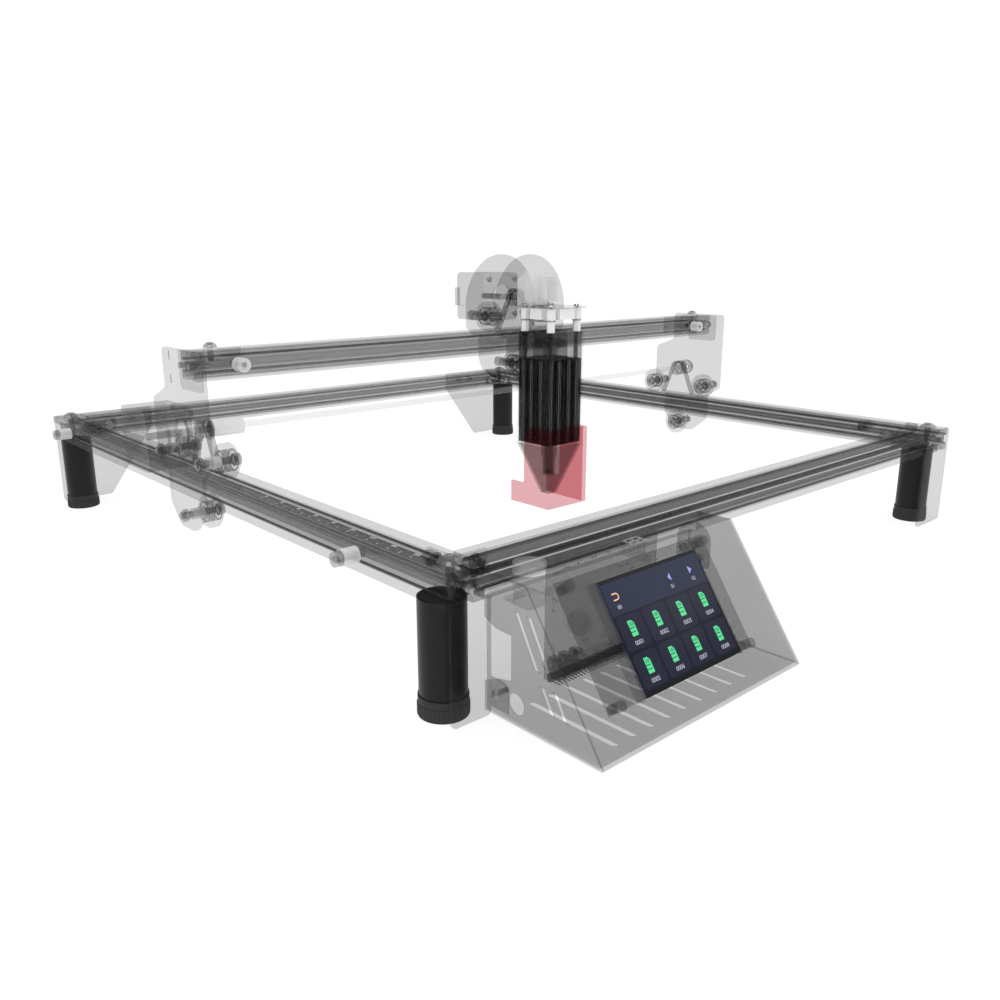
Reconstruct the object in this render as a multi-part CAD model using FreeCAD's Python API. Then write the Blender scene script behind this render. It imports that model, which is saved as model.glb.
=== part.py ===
import FreeCAD, Part
import math
import os
from FreeCAD import Vector

# Desktop laser cutter: a square frame of slotted beams on four posts, a wedge-shaped
# control box under the front beam, a gantry that rolls along Y on the side beams, and
# a carriage that rolls along X on the gantry and carries the laser module.
# Millimetres, +Z up, +X right, +Y back. Places are worked out about the middle of the
# frame, and every piece is moved at the end so that the origin is the middle of the
# whole machine's bounding box, on the surface that it stands on.

# ---- driving dimensions: frame ----
frame_x = 582.0          # outside to outside of the side beams
frame_y = 604.0          # length of the side beams
foot_height = 67.0
foot_radius = 13.3
foot_setback_y = 19.6    # foot centre in from the end of a side beam
pad_height = 12.0
pad_radius = 13.9
beam_width = 25.0
beam_height = 20.0
slot_opening = 9.2       # V mouth of each slot
slot_neck = 6.3
slot_cavity = 10.4
slot_depth = 5.4
beam_bore = 4.2
plate_skin = 2.0         # corner plates

# ---- driving dimensions: running gear ----
wheel_radius = 12.8
wheel_width = 10.2
wheel_tread = 5.9
wheel_dip = 1.2          # rim below the face of the beam, inside the V mouth
bearing_radius = 8.0
bolt_radius = 2.5
bolt_head_radius = 4.4
bolt_head_length = 4.0
nut_length = 4.0
run_clearance = 0.05     # radial, shaft in its hole
gap = 0.3                # between bodies that pass each other
shaft_radius = 2.5
pulley_radius = 6.1
pulley_flange_radius = 8.0
pulley_width = 9.0
flange_thickness = 1.2
belt_width = 6.0
belt_thickness = 1.4
motor_side = 42.3
motor_boss_radius = 11.0
motor_boss_height = 2.0

# ---- driving dimensions: gantry ----
gantry_y = -25.5         # middle of the gantry beam
gantry_lift = 67.0       # clear height between the frame and the gantry beam
axle_y = -10.0           # middle of the two upper wheels, and the drive shaft
wheel_spacing = 66.0
side_plate = 3.0
side_plate_gap = 2.0     # between a side beam and the plate outside it
shaft_lift = 29.0        # drive shaft above the side beams
y_motor_length = 32.0
plate_front_y = -54.0
plate_back_y = 33.0
plate_neck_front_y = -39.0
plate_neck_back_y = 18.0
plate_post_back_y = 10.0
plate_drop = 22.0        # lobe of the side plate below the side beams
bearing_outer = 6.5
bracket_side = 2.5       # leaf behind the gantry beam
bracket_leg = 45.0
top_bolt_inset = 16.0    # in from the end of the gantry beam
stop_front_inset = 80.0  # sleeves that end the gantry's travel, in from the side beam's ends
stop_back_inset = 47.0

# ---- driving dimensions: carriage ----
carriage_x = 13.5
carriage_half_width = 41.5
carriage_rise = 64.0     # top of the arch above the gantry beam
carriage_drop = 28.0     # end of the tongue below it
carriage_plate = 3.0
carriage_plate_spacing = 37.0
x_wheel_spacing = 64.0
x_motor_lift = 27.0
x_motor_length = 36.0
x_stop_inset = 30.0      # in from the end of the gantry beam

# ---- driving dimensions: laser module ----
sleeve_x = 42.0
sleeve_y = 42.0
sleeve_wall = 1.5
sleeve_height = 97.0     # its top is level with the gantry beam's
fan_height = 23.0
fan_bore_radius = 15.0
fin_count_x = 9
board_lift = 19.6        # driver board above the sleeve
board_thickness = 1.6
slider_thickness = 3.2
slider_up = 35.0
slider_down = 12.0
nozzle_tip = 10.0
nozzle_length = 47.0
nozzle_wall = 1.5
shield_overlap = 14.0    # shield's top above the bottom of the sleeve
shield_height = 68.5
shield_wall = 2.4
shield_tab_height = 18.5
guide_drop = 22.0        # screws of the laser's slider, below the gantry beam
barrel_radius = 7.0
barrel_neck = 5.5

# ---- driving dimensions: control box ----
box_inset = 29.0         # left wall in from the outside of the left beam
box_width = 176.5
box_floor_z = 1.5
box_depth = 79.0         # front edge out from the front beam
box_top_depth = 25.0
box_top_rise = 13.0      # top above the underside of the front beam
box_back_inset = 5.0     # back panel in from the front face of the front beam
sheet = 1.5
vent_count = 9
vent_pitch = 14.15
vent_width = 5.0
vent_first = 22.4        # first vent from the left wall
vent_front = 10.0        # ends of the vents, in from the front and the back of the floor
vent_back = 11.5
screen_width = 86.0
screen_height = 66.0
screen_from_top = 9.0
bezel_rim = 1.0
bezel_depth = 7.0
carrier_width = 126.0    # board that carries the screen
carrier_height = 72.0
standoff_length = 5.0
board_inset = 38.0       # main circuit board, in from the left wall
board_width = 94.0
board_z0 = 9.0
board_height = 68.0
lead_hole_inset = 19.3   # hole for the power lead in the left wall
lead_hole_z = 13.5
lead_hole_radius = 6.0
button_inset = 17.5      # from the left wall
button_out = 10.5        # from the front beam
button_radius = 9.0
button_height = 15.0
button_travel = 1.5

# ---- worked out: frame ----
beam_bottom = foot_height
beam_top = foot_height + beam_height
side_beam_x = frame_x / 2 - beam_width / 2
end_beam_y = frame_y / 2 - beam_width / 2
side_inner_x = frame_x / 2 - beam_width
foot_y = frame_y / 2 - foot_setback_y
front_face_y = -frame_y / 2
stop_front_y = front_face_y + stop_front_inset
stop_back_y = frame_y / 2 - stop_back_inset

# ---- worked out: gantry ----
gantry_bottom = beam_top + gantry_lift
gantry_top = gantry_bottom + beam_height
plate_inner_x = frame_x / 2 + side_plate_gap
plate_outer_x = plate_inner_x + side_plate
gantry_half = plate_inner_x - 1.0
top_bolt_x = gantry_half - top_bolt_inset
x_stop = gantry_half - x_stop_inset
shaft_z = beam_top + shaft_lift
plate_bottom_z = beam_bottom - plate_drop
wheel_lift = wheel_radius - wheel_dip
upper_wheel_z = beam_top + wheel_lift
lower_wheel_z = beam_bottom - wheel_lift
front_wheel_y = axle_y - wheel_spacing / 2
back_wheel_y = axle_y + wheel_spacing / 2
plate_top_z = gantry_top + 1.0
bracket_bolt_z = gantry_bottom + beam_height / 2

# ---- worked out: carriage ----
front_plate_y = gantry_y - carriage_plate_spacing / 2
rear_plate_y = gantry_y + carriage_plate_spacing / 2
front_plate_face = front_plate_y - carriage_plate / 2
rear_plate_face = rear_plate_y + carriage_plate / 2
carriage_top_z = gantry_top + carriage_rise
carriage_bottom_z = gantry_bottom - carriage_drop
x_motor_z = gantry_top + x_motor_lift
guide_z = gantry_bottom - guide_drop
x_wheel_top_z = gantry_top + wheel_lift
x_wheel_low_z = gantry_bottom - wheel_lift

# ---- worked out: laser module ----
slider_back_y = front_plate_face - gap
sleeve_back_y = slider_back_y - slider_thickness
module_y = sleeve_back_y - sleeve_y / 2
sink_x = sleeve_x - 2 * sleeve_wall - 2 * gap
sink_y = sleeve_y - 2 * sleeve_wall - 2 * gap
module_top_z = gantry_top
module_bottom_z = module_top_z - sleeve_height
nozzle_bottom_z = module_bottom_z - nozzle_length
fin_top_z = module_top_z - fan_height
board_z = module_top_z + board_lift
board_top_z = board_z + board_thickness
shield_x = sleeve_x + 2 * (shield_wall + gap)
shield_front_y = module_y - sleeve_y / 2 - gap - shield_wall
shield_top_z = module_bottom_z + shield_overlap
shield_bottom_z = shield_top_z - shield_height
shield_tab_top_z = shield_bottom_z + shield_tab_height

# ---- worked out: control box ----
box_left_x = -frame_x / 2 + box_inset
box_right_x = box_left_x + box_width
box_middle_x = box_left_x + box_width / 2
box_back_y = front_face_y + box_back_inset
box_front_y = front_face_y - box_depth
box_top_front_y = front_face_y - box_top_depth
box_top_z = beam_bottom + box_top_rise
lead_hole_y = front_face_y - lead_hole_inset
board_x0 = box_left_x + board_inset
board_x1 = board_x0 + board_width
board_z1 = board_z0 + board_height
button_x = box_left_x + button_inset
button_y = front_face_y - button_out
switch_top = box_top_z + 5.0 - button_height - button_travel - 0.2
slope_run = box_top_front_y - box_front_y
slope_rise = box_top_z - box_floor_z
slope_length = math.hypot(slope_run, slope_rise)
slope_y = -slope_run / slope_length
slope_z = -slope_rise / slope_length
out_y = slope_z
out_z = -slope_y

parts = {}


def box(x0, x1, y0, y1, z0, z1):
    corner = Vector(min(x0, x1), min(y0, y1), min(z0, z1))
    return Part.makeBox(abs(x1 - x0), abs(y1 - y0), abs(z1 - z0), corner)


def rod(radius, start, end):
    start = Vector(*start)
    span = Vector(*end) - start
    return Part.makeCylinder(radius, span.Length, start, span)


def tube(outer, inner, start, end):
    return rod(outer, start, end).cut(rod(inner, start, end))


def prism(points, direction):
    corners = [Vector(*p) for p in points]
    wire = Part.makePolygon(corners + [corners[0]])
    return Part.Face(wire).extrude(Vector(*direction))


def hexagon(flats, start, end):
    start = Vector(*start)
    span = Vector(*end) - start
    radius = flats / math.sqrt(3)
    blank = [Vector(radius * math.cos(k * math.pi / 3), radius * math.sin(k * math.pi / 3), 0)
             for k in range(7)]
    solid = Part.Face(Part.makePolygon(blank)).extrude(Vector(0, 0, span.Length))
    turn = FreeCAD.Rotation(Vector(0, 0, 1), span)
    solid.Placement = FreeCAD.Placement(start, turn)
    return solid


def dome_bolt(seat, into, radius, length, head_radius, head_length):
    """Button-head bolt: its head stands on seat, its shank runs along into."""
    seat = Vector(*seat)
    along = Vector(*into).normalize()
    shank = Part.makeCylinder(radius, length, seat, along)
    ball_radius = (head_radius ** 2 + head_length ** 2) / (2 * head_length)
    ball = Part.makeSphere(ball_radius, seat + along * (ball_radius - head_length))
    head = Part.makeCylinder(head_radius, head_length, seat, -along).common(ball)
    socket = hexagon(head_radius * 0.75, seat - along * head_length, seat - along * head_length * 0.35)
    return shank.fuse(head).cut(socket).removeSplitter()


def cap_bolt(seat, into, radius, length, head_radius, head_length):
    """Socket-head bolt with a cylindrical head."""
    seat = Vector(*seat)
    along = Vector(*into).normalize()
    shank = Part.makeCylinder(radius, length, seat, along)
    head = Part.makeCylinder(head_radius, head_length, seat, -along)
    socket = hexagon(head_radius * 0.95, seat - along * head_length, seat - along * head_length * 0.35)
    return shank.fuse(head).cut(socket).removeSplitter()


def nut(flats, bore, start, end):
    return hexagon(flats, start, end).cut(rod(bore, start, end))


def round_edges(solid, radius, chosen):
    edges = [e for e in solid.Edges if chosen(e)]
    return solid.makeFillet(radius, edges)


def along_axis(edge, axis):
    """True for a straight edge that runs along X, Y or Z."""
    if not isinstance(edge.Curve, Part.Line):
        return False
    return abs(getattr(edge.Curve.Direction, axis)) > 0.999


def mirrored(shape):
    return shape.mirror(Vector(0, 0, 0), Vector(1, 0, 0))


def save(name, *solids):
    parts[name] = list(solids)


def slot_cutter(length):
    """A V mouth over a T cavity, running along +Y, cut down from z = 0."""
    mouth = slot_opening / 2
    neck = slot_neck / 2
    cavity = slot_cavity / 2
    v_depth = mouth - neck
    lip = v_depth + 0.6
    floor_half = belt_width / 2 + 0.2
    right = [(mouth + 1, 1), (neck, -v_depth), (neck, -lip), (cavity, -lip),
             (cavity, -lip - 1.4), (floor_half, -slot_depth)]
    left = [(-x, z) for x, z in reversed(right)]
    return prism([(x, 0, z) for x, z in right + left], (0, length, 0))


def slotted_beam(length):
    """Beam along +Y from y = 0, its section centred on the Y axis."""
    half_w = beam_width / 2
    half_h = beam_height / 2
    solid = box(-half_w, half_w, 0, length, -half_h, half_h)
    for turn, reach in ((0, half_h), (90, half_w), (180, half_h), (270, half_w)):
        cutter = slot_cutter(length)
        cutter.translate(Vector(0, 0, reach))
        cutter.rotate(Vector(0, 0, 0), Vector(0, 1, 0), turn)
        solid = solid.cut(cutter)
    return solid.cut(rod(beam_bore / 2, (0, 0, 0), (0, length, 0)))


def beam_between(start, end):
    """A slotted beam whose section is centred on the line from start to end."""
    start = Vector(*start)
    span = Vector(*end) - start
    solid = slotted_beam(span.Length)
    if abs(span.x) > abs(span.y):
        solid.rotate(Vector(0, 0, 0), Vector(0, 0, 1), -90)
    solid.translate(start)
    return solid


def wheel(centre, axis):
    """V wheel with two bearings, its axle along X or Y."""
    half = wheel_width / 2
    tread = wheel_tread / 2
    shoulder = wheel_radius - (half - tread)
    outline = [(bearing_radius, 0, -half), (shoulder, 0, -half), (wheel_radius, 0, -tread),
               (wheel_radius, 0, tread), (shoulder, 0, half), (bearing_radius, 0, half)]
    corners = [Vector(*p) for p in outline]
    face = Part.Face(Part.makePolygon(corners + [corners[0]]))
    rim = face.revolve(Vector(0, 0, 0), Vector(0, 0, 1), 360)
    bore = bolt_radius + run_clearance
    low = tube(bearing_radius, bore, (0, 0, -half), (0, 0, -0.2))
    high = tube(bearing_radius, bore, (0, 0, 0.2), (0, 0, half))
    turn = FreeCAD.Rotation(Vector(0, 0, 1), Vector(*axis))
    for solid in (rim, low, high):
        solid.Placement = FreeCAD.Placement(Vector(*centre), turn)
    return rim, low, high


def toothed_pulley(bore):
    """Pulley about the Z axis, centred on the origin."""
    half = pulley_width / 2
    body = rod(pulley_radius, (0, 0, -half), (0, 0, half))
    low = rod(pulley_flange_radius, (0, 0, -half), (0, 0, -half + flange_thickness))
    high = rod(pulley_flange_radius, (0, 0, half - flange_thickness), (0, 0, half))
    return body.fuse([low, high]).cut(rod(bore, (0, 0, -half), (0, 0, half))).removeSplitter()


def belt_arch(half_span, foot_z, centre_z):
    """Belt that rises from the slot, goes over a pulley and comes down again.

    The arch is in the XZ plane about x = 0, and the belt's width runs along Y.
    """
    inner = pulley_radius + 0.15
    outer = inner + belt_thickness
    rise = centre_z - foot_z

    def tangent(radius, foot):
        reach = math.hypot(foot, rise)
        angle = math.atan2(rise, foot) - math.acos(radius / reach)
        return radius * math.cos(angle), centre_z - radius * math.sin(angle)

    inner_foot = half_span
    outer_foot = half_span + belt_thickness * math.hypot(rise, half_span) / rise
    ix, iz = tangent(inner, inner_foot)
    ox, oz = tangent(outer, outer_foot)
    y = -belt_width / 2
    over_outer = Part.Arc(Vector(-ox, y, oz), Vector(0, y, centre_z + outer), Vector(ox, y, oz))
    over_inner = Part.Arc(Vector(ix, y, iz), Vector(0, y, centre_z + inner), Vector(-ix, y, iz))
    loop = [Vector(-outer_foot, y, foot_z), Vector(outer_foot, y, foot_z),
            Vector(inner_foot, y, foot_z), Vector(-inner_foot, y, foot_z)]
    edges = [Part.LineSegment(loop[0], Vector(-ox, y, oz)).toShape(), over_outer.toShape(),
             Part.LineSegment(Vector(ox, y, oz), loop[1]).toShape(),
             Part.LineSegment(loop[1], loop[2]).toShape(),
             Part.LineSegment(loop[2], Vector(ix, y, iz)).toShape(), over_inner.toShape(),
             Part.LineSegment(Vector(-ix, y, iz), loop[3]).toShape(),
             Part.LineSegment(loop[3], loop[0]).toShape()]
    return Part.Face(Part.Wire(edges)).extrude(Vector(0, belt_width, 0))


def stepper_motor(length, bore_depth):
    """Square motor along -Z from z = 0, with its round boss above and a bore for the shaft."""
    half = motor_side / 2
    body = box(-half, half, -half, half, -length, 0)
    body = round_edges(body, 4.0, lambda e: along_axis(e, "z"))
    boss = rod(motor_boss_radius, (0, 0, 0), (0, 0, motor_boss_height))
    bore = rod(shaft_radius + run_clearance, (0, 0, -bore_depth), (0, 0, motor_boss_height))
    plug = box(-8, 8, half, half + 6.0, -length + 4, -length + 14)
    return body.fuse([boss, plug]).cut(bore).removeSplitter()


# ---- frame ----
def make_frame():
    z = beam_bottom + beam_height / 2
    save("left_beam", beam_between((-side_beam_x, -frame_y / 2, z), (-side_beam_x, frame_y / 2, z)))
    save("right_beam", beam_between((side_beam_x, -frame_y / 2, z), (side_beam_x, frame_y / 2, z)))
    save("front_beam", beam_between((-side_inner_x, -end_beam_y, z), (side_inner_x, -end_beam_y, z)))
    save("rear_beam", beam_between((-side_inner_x, end_beam_y, z), (side_inner_x, end_beam_y, z)))


def corner_places():
    return [(sx, sy) for sx in (-1, 1) for sy in (-1, 1)]


def make_corners():
    """Posts, pads, the bolts down through the side beams and the inside angle brackets."""
    posts = []
    pads = []
    bolts = []
    brackets = []
    bolt_down = beam_height + 8.0
    leg = 24.0
    leg_height = 12.0
    leg_thickness = 3.0
    z0 = beam_bottom + (beam_height - leg_height) / 2
    z1 = z0 + leg_height
    for sx, sy in corner_places():
        x = sx * side_beam_x
        y = sy * foot_y
        bolt_y = sy * end_beam_y
        post = rod(foot_radius, (x, y, pad_height - 6), (x, y, foot_height))
        post = post.cut(rod(bolt_radius, (x, bolt_y, foot_height - 8.0), (x, bolt_y, foot_height)))
        posts.append(post)
        pad = rod(pad_radius, (x, y, 0), (x, y, pad_height))
        pads.append(pad.cut(rod(foot_radius, (x, y, pad_height - 6), (x, y, pad_height))))
        bolts.append(dome_bolt((x, bolt_y, beam_top), (0, 0, -1), bolt_radius, bolt_down, 7.0, 4.2))
        inner_x = sx * side_inner_x
        inner_y = sy * (frame_y / 2 - beam_width)
        along_x = box(inner_x, inner_x - sx * leg, inner_y, inner_y - sy * leg_thickness, z0, z1)
        along_y = box(inner_x, inner_x - sx * leg_thickness, inner_y, inner_y - sy * leg, z0, z1)
        bracket = along_x.fuse(along_y).removeSplitter()
        hole_z = (z0 + z1) / 2
        far = leg - 7.0
        bracket = bracket.cut(rod(2.6, (inner_x - sx * far, inner_y + sy, hole_z),
                                  (inner_x - sx * far, inner_y - sy * 5, hole_z)))
        bracket = bracket.cut(rod(2.6, (inner_x + sx, inner_y - sy * far, hole_z),
                                  (inner_x - sx * 5, inner_y - sy * far, hole_z)))
        brackets.append(bracket)
        seat_y = inner_y - sy * leg_thickness
        bolts.append(dome_bolt((inner_x - sx * far, seat_y, hole_z), (0, sy, 0), 2.5, 7.0, 4.4, 2.6))
        seat_x = inner_x - sx * leg_thickness
        bolts.append(dome_bolt((seat_x, inner_y - sy * far, hole_z), (sx, 0, 0), 2.5, 7.0, 4.4, 2.6))
    save("foot_posts", *posts)
    save("foot_pads", *pads)
    save("corner_brackets", *brackets)
    return bolts, bolt_down


def drill_frame(bolt_down):
    """Clear the side beams for the corner bolts."""
    for name, sx in (("left_beam", -1), ("right_beam", 1)):
        solid = parts[name][0]
        for sy in (-1, 1):
            x = sx * side_beam_x
            y = sy * end_beam_y
            solid = solid.cut(rod(bolt_radius, (x, y, beam_top - bolt_down), (x, y, beam_top)))
        parts[name] = [solid]


def make_corner_plates():
    """Skirt plates on the ends of the frame, and the screws that hold them."""
    outer = frame_x / 2 - 1.0
    screws = []
    front_y = front_face_y
    left = box(-outer, box_left_x - 1.5, front_y - plate_skin, front_y, 2.0, beam_top)
    left = round_edges(left, 3.0, lambda e: along_axis(e, "y"))
    right = box(outer - 44.0, outer, front_y - plate_skin, front_y, 2.0, beam_top)
    right = round_edges(right, 3.0, lambda e: along_axis(e, "y"))
    back_y = frame_y / 2
    outline = [(outer, back_y, 2.0), (outer - 46.0, back_y, 2.0), (outer - 94.0, back_y, beam_bottom),
               (outer - 94.0, back_y, beam_top), (outer, back_y, beam_top)]
    rear_right = prism(outline, (0, plate_skin, 0))
    rear_right = round_edges(rear_right, 3.0, lambda e: along_axis(e, "y"))
    rear_left = mirrored(rear_right)
    plates = [left, right, rear_left, rear_right]
    z = beam_bottom + beam_height / 2
    holes = [(-side_beam_x, front_y - plate_skin, 1), (side_beam_x, front_y - plate_skin, 1),
             (side_inner_x - 14.0, front_y - plate_skin, 1)]
    for sx in (-1, 1):
        for x in (side_beam_x, side_inner_x - 30.0, side_inner_x - 50.0):
            holes.append((sx * x, back_y + plate_skin, -1))
    for x, seat_y, sense in holes:
        hole = rod(2.0, (x, seat_y - sense, z), (x, seat_y + sense * 4, z))
        plates = [p.cut(hole) for p in plates]
        screws.append(dome_bolt((x, seat_y, z), (0, sense, 0), 2.0, plate_skin + 2.4, 3.8, 2.2))
    save("corner_plates", *plates)
    return screws


def make_y_stops():
    """Sleeves and bolts on the outer faces of the side beams that end the gantry's travel."""
    z = beam_bottom + beam_height / 2
    sleeves = []
    bolts = []
    for sx in (-1, 1):
        for y in (stop_front_y, stop_back_y):
            face = sx * frame_x / 2
            end = face + sx * 10.0
            sleeves.append(tube(5.0, bolt_radius, (face, y, z), (end, y, z)))
            bolts.append(cap_bolt((end, y, z), (-sx, 0, 0), bolt_radius, 15.0, 4.4, 4.4))
    save("y_stop_sleeves", *sleeves)
    return bolts


def make_y_belts():
    belts = []
    clamps = []
    half = frame_y / 2 - 23.0
    z = beam_top - slot_depth
    for sx in (-1, 1):
        x = sx * side_beam_x
        belts.append(box(x - belt_width / 2, x + belt_width / 2, -half, half, z, z + belt_thickness))
        for sy in (-1, 1):
            y = sy * (half - 4.5)
            clamps.append(box(x - 2.9, x + 2.9, y - 4.5, y + 4.5, z + belt_thickness, beam_top + 1.5))
    save("y_belts", *belts)
    save("belt_clamps", *clamps)


# ---- control box ----
def on_slope(down, out=0.0):
    """Point of the sloping face: down along it from its top edge, and out from it."""
    y = box_top_front_y + slope_y * down + out_y * out
    z = box_top_z + slope_z * down + out_z * out
    return y, z


def slope_slab(x0, x1, down0, down1, out0, out1):
    corners = [on_slope(down0, out0), on_slope(down1, out0), on_slope(down1, out1), on_slope(down0, out1)]
    return prism([(x0, y, z) for y, z in corners], (x1 - x0, 0, 0))


def make_box_walls():
    """Two side walls in the wedge's profile, with the vents and openings in the left one."""
    top_back_y = front_face_y - gap
    under_beam_z = beam_bottom - gap
    outline = [(box_back_y, box_floor_z), (box_front_y, box_floor_z), (box_top_front_y, box_top_z),
               (top_back_y, box_top_z), (top_back_y, under_beam_z), (box_back_y, under_beam_z)]
    left = prism([(box_left_x, y, z) for y, z in outline], (sheet, 0, 0))
    right = prism([(box_right_x - sheet, y, z) for y, z in outline], (sheet, 0, 0))
    x0 = box_left_x - 1
    x1 = box_left_x + sheet + 1
    notch = [(box_back_y + 1, 18.0), (box_back_y - 9.0, 22.5), (box_back_y - 20.6, 25.0),
             (box_back_y - 20.6, 50.6), (box_back_y - 9.0, 51.0), (box_back_y + 1, 55.5)]
    left = left.cut(prism([(x0, y, z) for y, z in notch], (x1 - x0, 0, 0)))
    for inset in (17.0, 26.0):
        for z_high, z_low in ((64.2, 37.0), (30.0, 17.0)):
            high = front_face_y - inset - (64.2 - z_high) * 0.55
            low = front_face_y - inset - (64.2 - z_low) * 0.55
            lean = [(high, z_high), (low, z_low), (low - 4.0, z_low), (high - 4.0, z_high)]
            left = left.cut(prism([(x0, a, b) for a, b in lean], (x1 - x0, 0, 0)))
    left = left.cut(rod(lead_hole_radius, (x0, lead_hole_y, lead_hole_z), (x1, lead_hole_y, lead_hole_z)))
    y, z = tab_screw_place()
    left = left.cut(rod(1.5, (x0, y, z), (x1, y, z)))
    right = right.cut(rod(1.5, (box_right_x - sheet - 1, y, z), (box_right_x + 1, y, z)))
    save("box_side_walls", left, right)


def tab_screw_place():
    return box_back_y - 8.0, 13.0


def make_box_floor():
    """Floor with its long vents, folded up into the back panel under the front beam."""
    x0 = box_left_x + sheet
    x1 = box_right_x - sheet
    under_beam_z = beam_bottom
    front = box_front_y + 3.0
    floor = box(x0, x1, front, box_back_y, box_floor_z, box_floor_z + sheet)
    back = box(x0, x1, box_back_y - sheet, box_back_y, box_floor_z, under_beam_z)
    solid = floor.fuse(back).removeSplitter()
    y, z = tab_screw_place()
    for sx, inner in ((1, x0), (-1, x1)):
        tab = box(inner, inner + sx * sheet, y - 8.0, box_back_y, box_floor_z, z + 8.0)
        tab = round_edges(tab, 5.0, lambda e: along_axis(e, "x") and e.CenterOfMass.z > z
                          and e.CenterOfMass.y < y)
        solid = solid.fuse(tab.cut(rod(1.5, (inner - sx, y, z), (inner + sx * 4, y, z))))
    solid = solid.removeSplitter()
    low = box_floor_z - 1
    high = box_floor_z + sheet + 1
    end = vent_width / 2
    front_end = box_front_y + vent_front + end
    back_end = box_back_y - vent_back - end
    for k in range(vent_count):
        x = box_left_x + vent_first + k * vent_pitch
        cut = box(x - end, x + end, front_end, back_end, low, high)
        cut = cut.fuse([rod(end, (x, front_end, low), (x, front_end, high)),
                        rod(end, (x, back_end, low), (x, back_end, high))])
        solid = solid.cut(cut)
    save("box_floor", solid)
    screws = []
    for sx, seat in ((1, box_left_x), (-1, box_right_x)):
        screws.append(dome_bolt((seat, y, z), (sx, 0, 0), 1.5, 9.0, 2.8, 1.6))
    return screws


def make_box_front():
    """Sloping front panel with its screen window, folded back into the short top."""
    x0 = box_left_x + sheet
    x1 = box_right_x - sheet
    slab = slope_slab(x0, x1, 0, slope_length, -sheet, 0)
    top = box(x0, x1, box_top_front_y, front_face_y - gap, box_top_z - sheet, box_top_z)
    solid = slab.fuse(top)
    below = box(x0, x1, box_front_y - 5, box_back_y, box_floor_z - 5, box_floor_z)
    solid = solid.cut(below).removeSplitter()
    half = screen_width / 2
    window = slope_slab(box_middle_x - half, box_middle_x + half, screen_from_top,
                        screen_from_top + screen_height, -sheet - 1, 1)
    solid = solid.cut(window)
    solid = solid.cut(rod(button_radius + gap, (button_x, button_y, box_top_z - 5),
                          (button_x, button_y, box_top_z + 5)))
    save("box_front", solid)


def make_screen():
    """Touch screen: a bezel tray in the window, the glass in it and a board behind."""
    half = screen_width / 2
    d0 = screen_from_top
    d1 = screen_from_top + screen_height
    x0 = box_middle_x - half
    x1 = box_middle_x + half
    tray = slope_slab(x0 + 0.1, x1 - 0.1, d0 + 0.1, d1 - 0.1, -bezel_depth, 1.0)
    recess = slope_slab(x0 + bezel_rim, x1 - bezel_rim, d0 + bezel_rim, d1 - bezel_rim, -1.2, 2.0)
    save("screen_bezel", tray.cut(recess))
    save("screen_glass", slope_slab(x0 + bezel_rim, x1 - bezel_rim, d0 + bezel_rim, d1 - bezel_rim,
                                    -1.2, 0.6))
    middle = (d0 + d1) / 2 - 3.5
    return slope_slab(box_middle_x - carrier_width / 2, box_middle_x + carrier_width / 2,
                      middle - carrier_height / 2, middle + carrier_height / 2,
                      -bezel_depth - 1.6, -bezel_depth)


def make_boards(screen_board):
    """Main board upright on the back panel, and the small parts on it."""
    y1 = box_back_y - sheet - standoff_length
    y0 = y1 - 1.6
    main = box(board_x0, board_x1, y0, y1, board_z0, board_z1)
    save("circuit_boards", main, screen_board)
    small = []
    for x in (board_x0 + 5, board_x1 - 5):
        for z in (board_z0 + 6, beam_bottom - 8):
            small.append(rod(2.5, (x, y1, z), (x, box_back_y - sheet, z)))
    for k in range(5):
        x = board_x0 + 8.0 + k * 11.0
        small.append(box(x, x + 8.0, y0 - 7.0, y0, board_z0 + 2, board_z0 + 9))
    for k in range(3):
        x = board_x0 + 64.0 + k * 9.0
        small.append(box(x, x + 6.0, y0 - 6.0, y0, board_z0 + 2, board_z0 + 8))
    buzzer_x = board_x0 + 22.0
    small.append(rod(6.5, (buzzer_x, y0 - 7.0, 38.0), (buzzer_x, y0, 38.0)))
    for k in range(2):
        x = board_x0 + 48.0 + 20.0 * k
        small.append(box(x, x + 12.0, y0 - 2.2, y0, 40.0, 52.0))
    small.append(box(board_x0 + 60, board_x0 + 72, y0 - 9.0, y0, board_z1 - 8, board_z1))
    switch = box(button_x - 6, button_x + 6, button_y - 6, button_y + 6, switch_top - 7, switch_top)
    tab = box(button_x - 5, button_x + 5, button_y, box_back_y - sheet, switch_top - 7, switch_top - 5)
    small.append(switch.fuse(tab).removeSplitter())
    save("board_parts", *small)


def make_button():
    """Round power button on the left of the box's top; it presses down."""
    foot = switch_top + button_travel + 0.2
    cap = rod(button_radius, (button_x, button_y, foot), (button_x, button_y, foot + button_height))
    pocket_z = foot + button_height - 1.2
    cap = cap.cut(rod(button_radius - 1.6, (button_x, button_y, foot + 1.5),
                      (button_x, button_y, pocket_z)))
    save("power_button", cap)


# ---- gantry ----
def side_plate_outline():
    """Corners of a side plate in Y and Z, from its top back corner round to the front."""
    return [(plate_post_back_y, plate_top_z), (plate_post_back_y, gantry_bottom - 8.0),
            (plate_back_y, gantry_bottom - 17.0),
            (plate_back_y, beam_top + 3.0), (plate_neck_back_y, beam_top - 3.0),
            (plate_neck_back_y, plate_bottom_z + 16),
            (plate_neck_back_y - 15, plate_bottom_z), (plate_neck_front_y + 19, plate_bottom_z),
            (plate_neck_front_y, plate_bottom_z + 15), (plate_neck_front_y, beam_top - 1.0),
            (plate_front_y, beam_top + 9.0), (plate_front_y, plate_top_z)]


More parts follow.
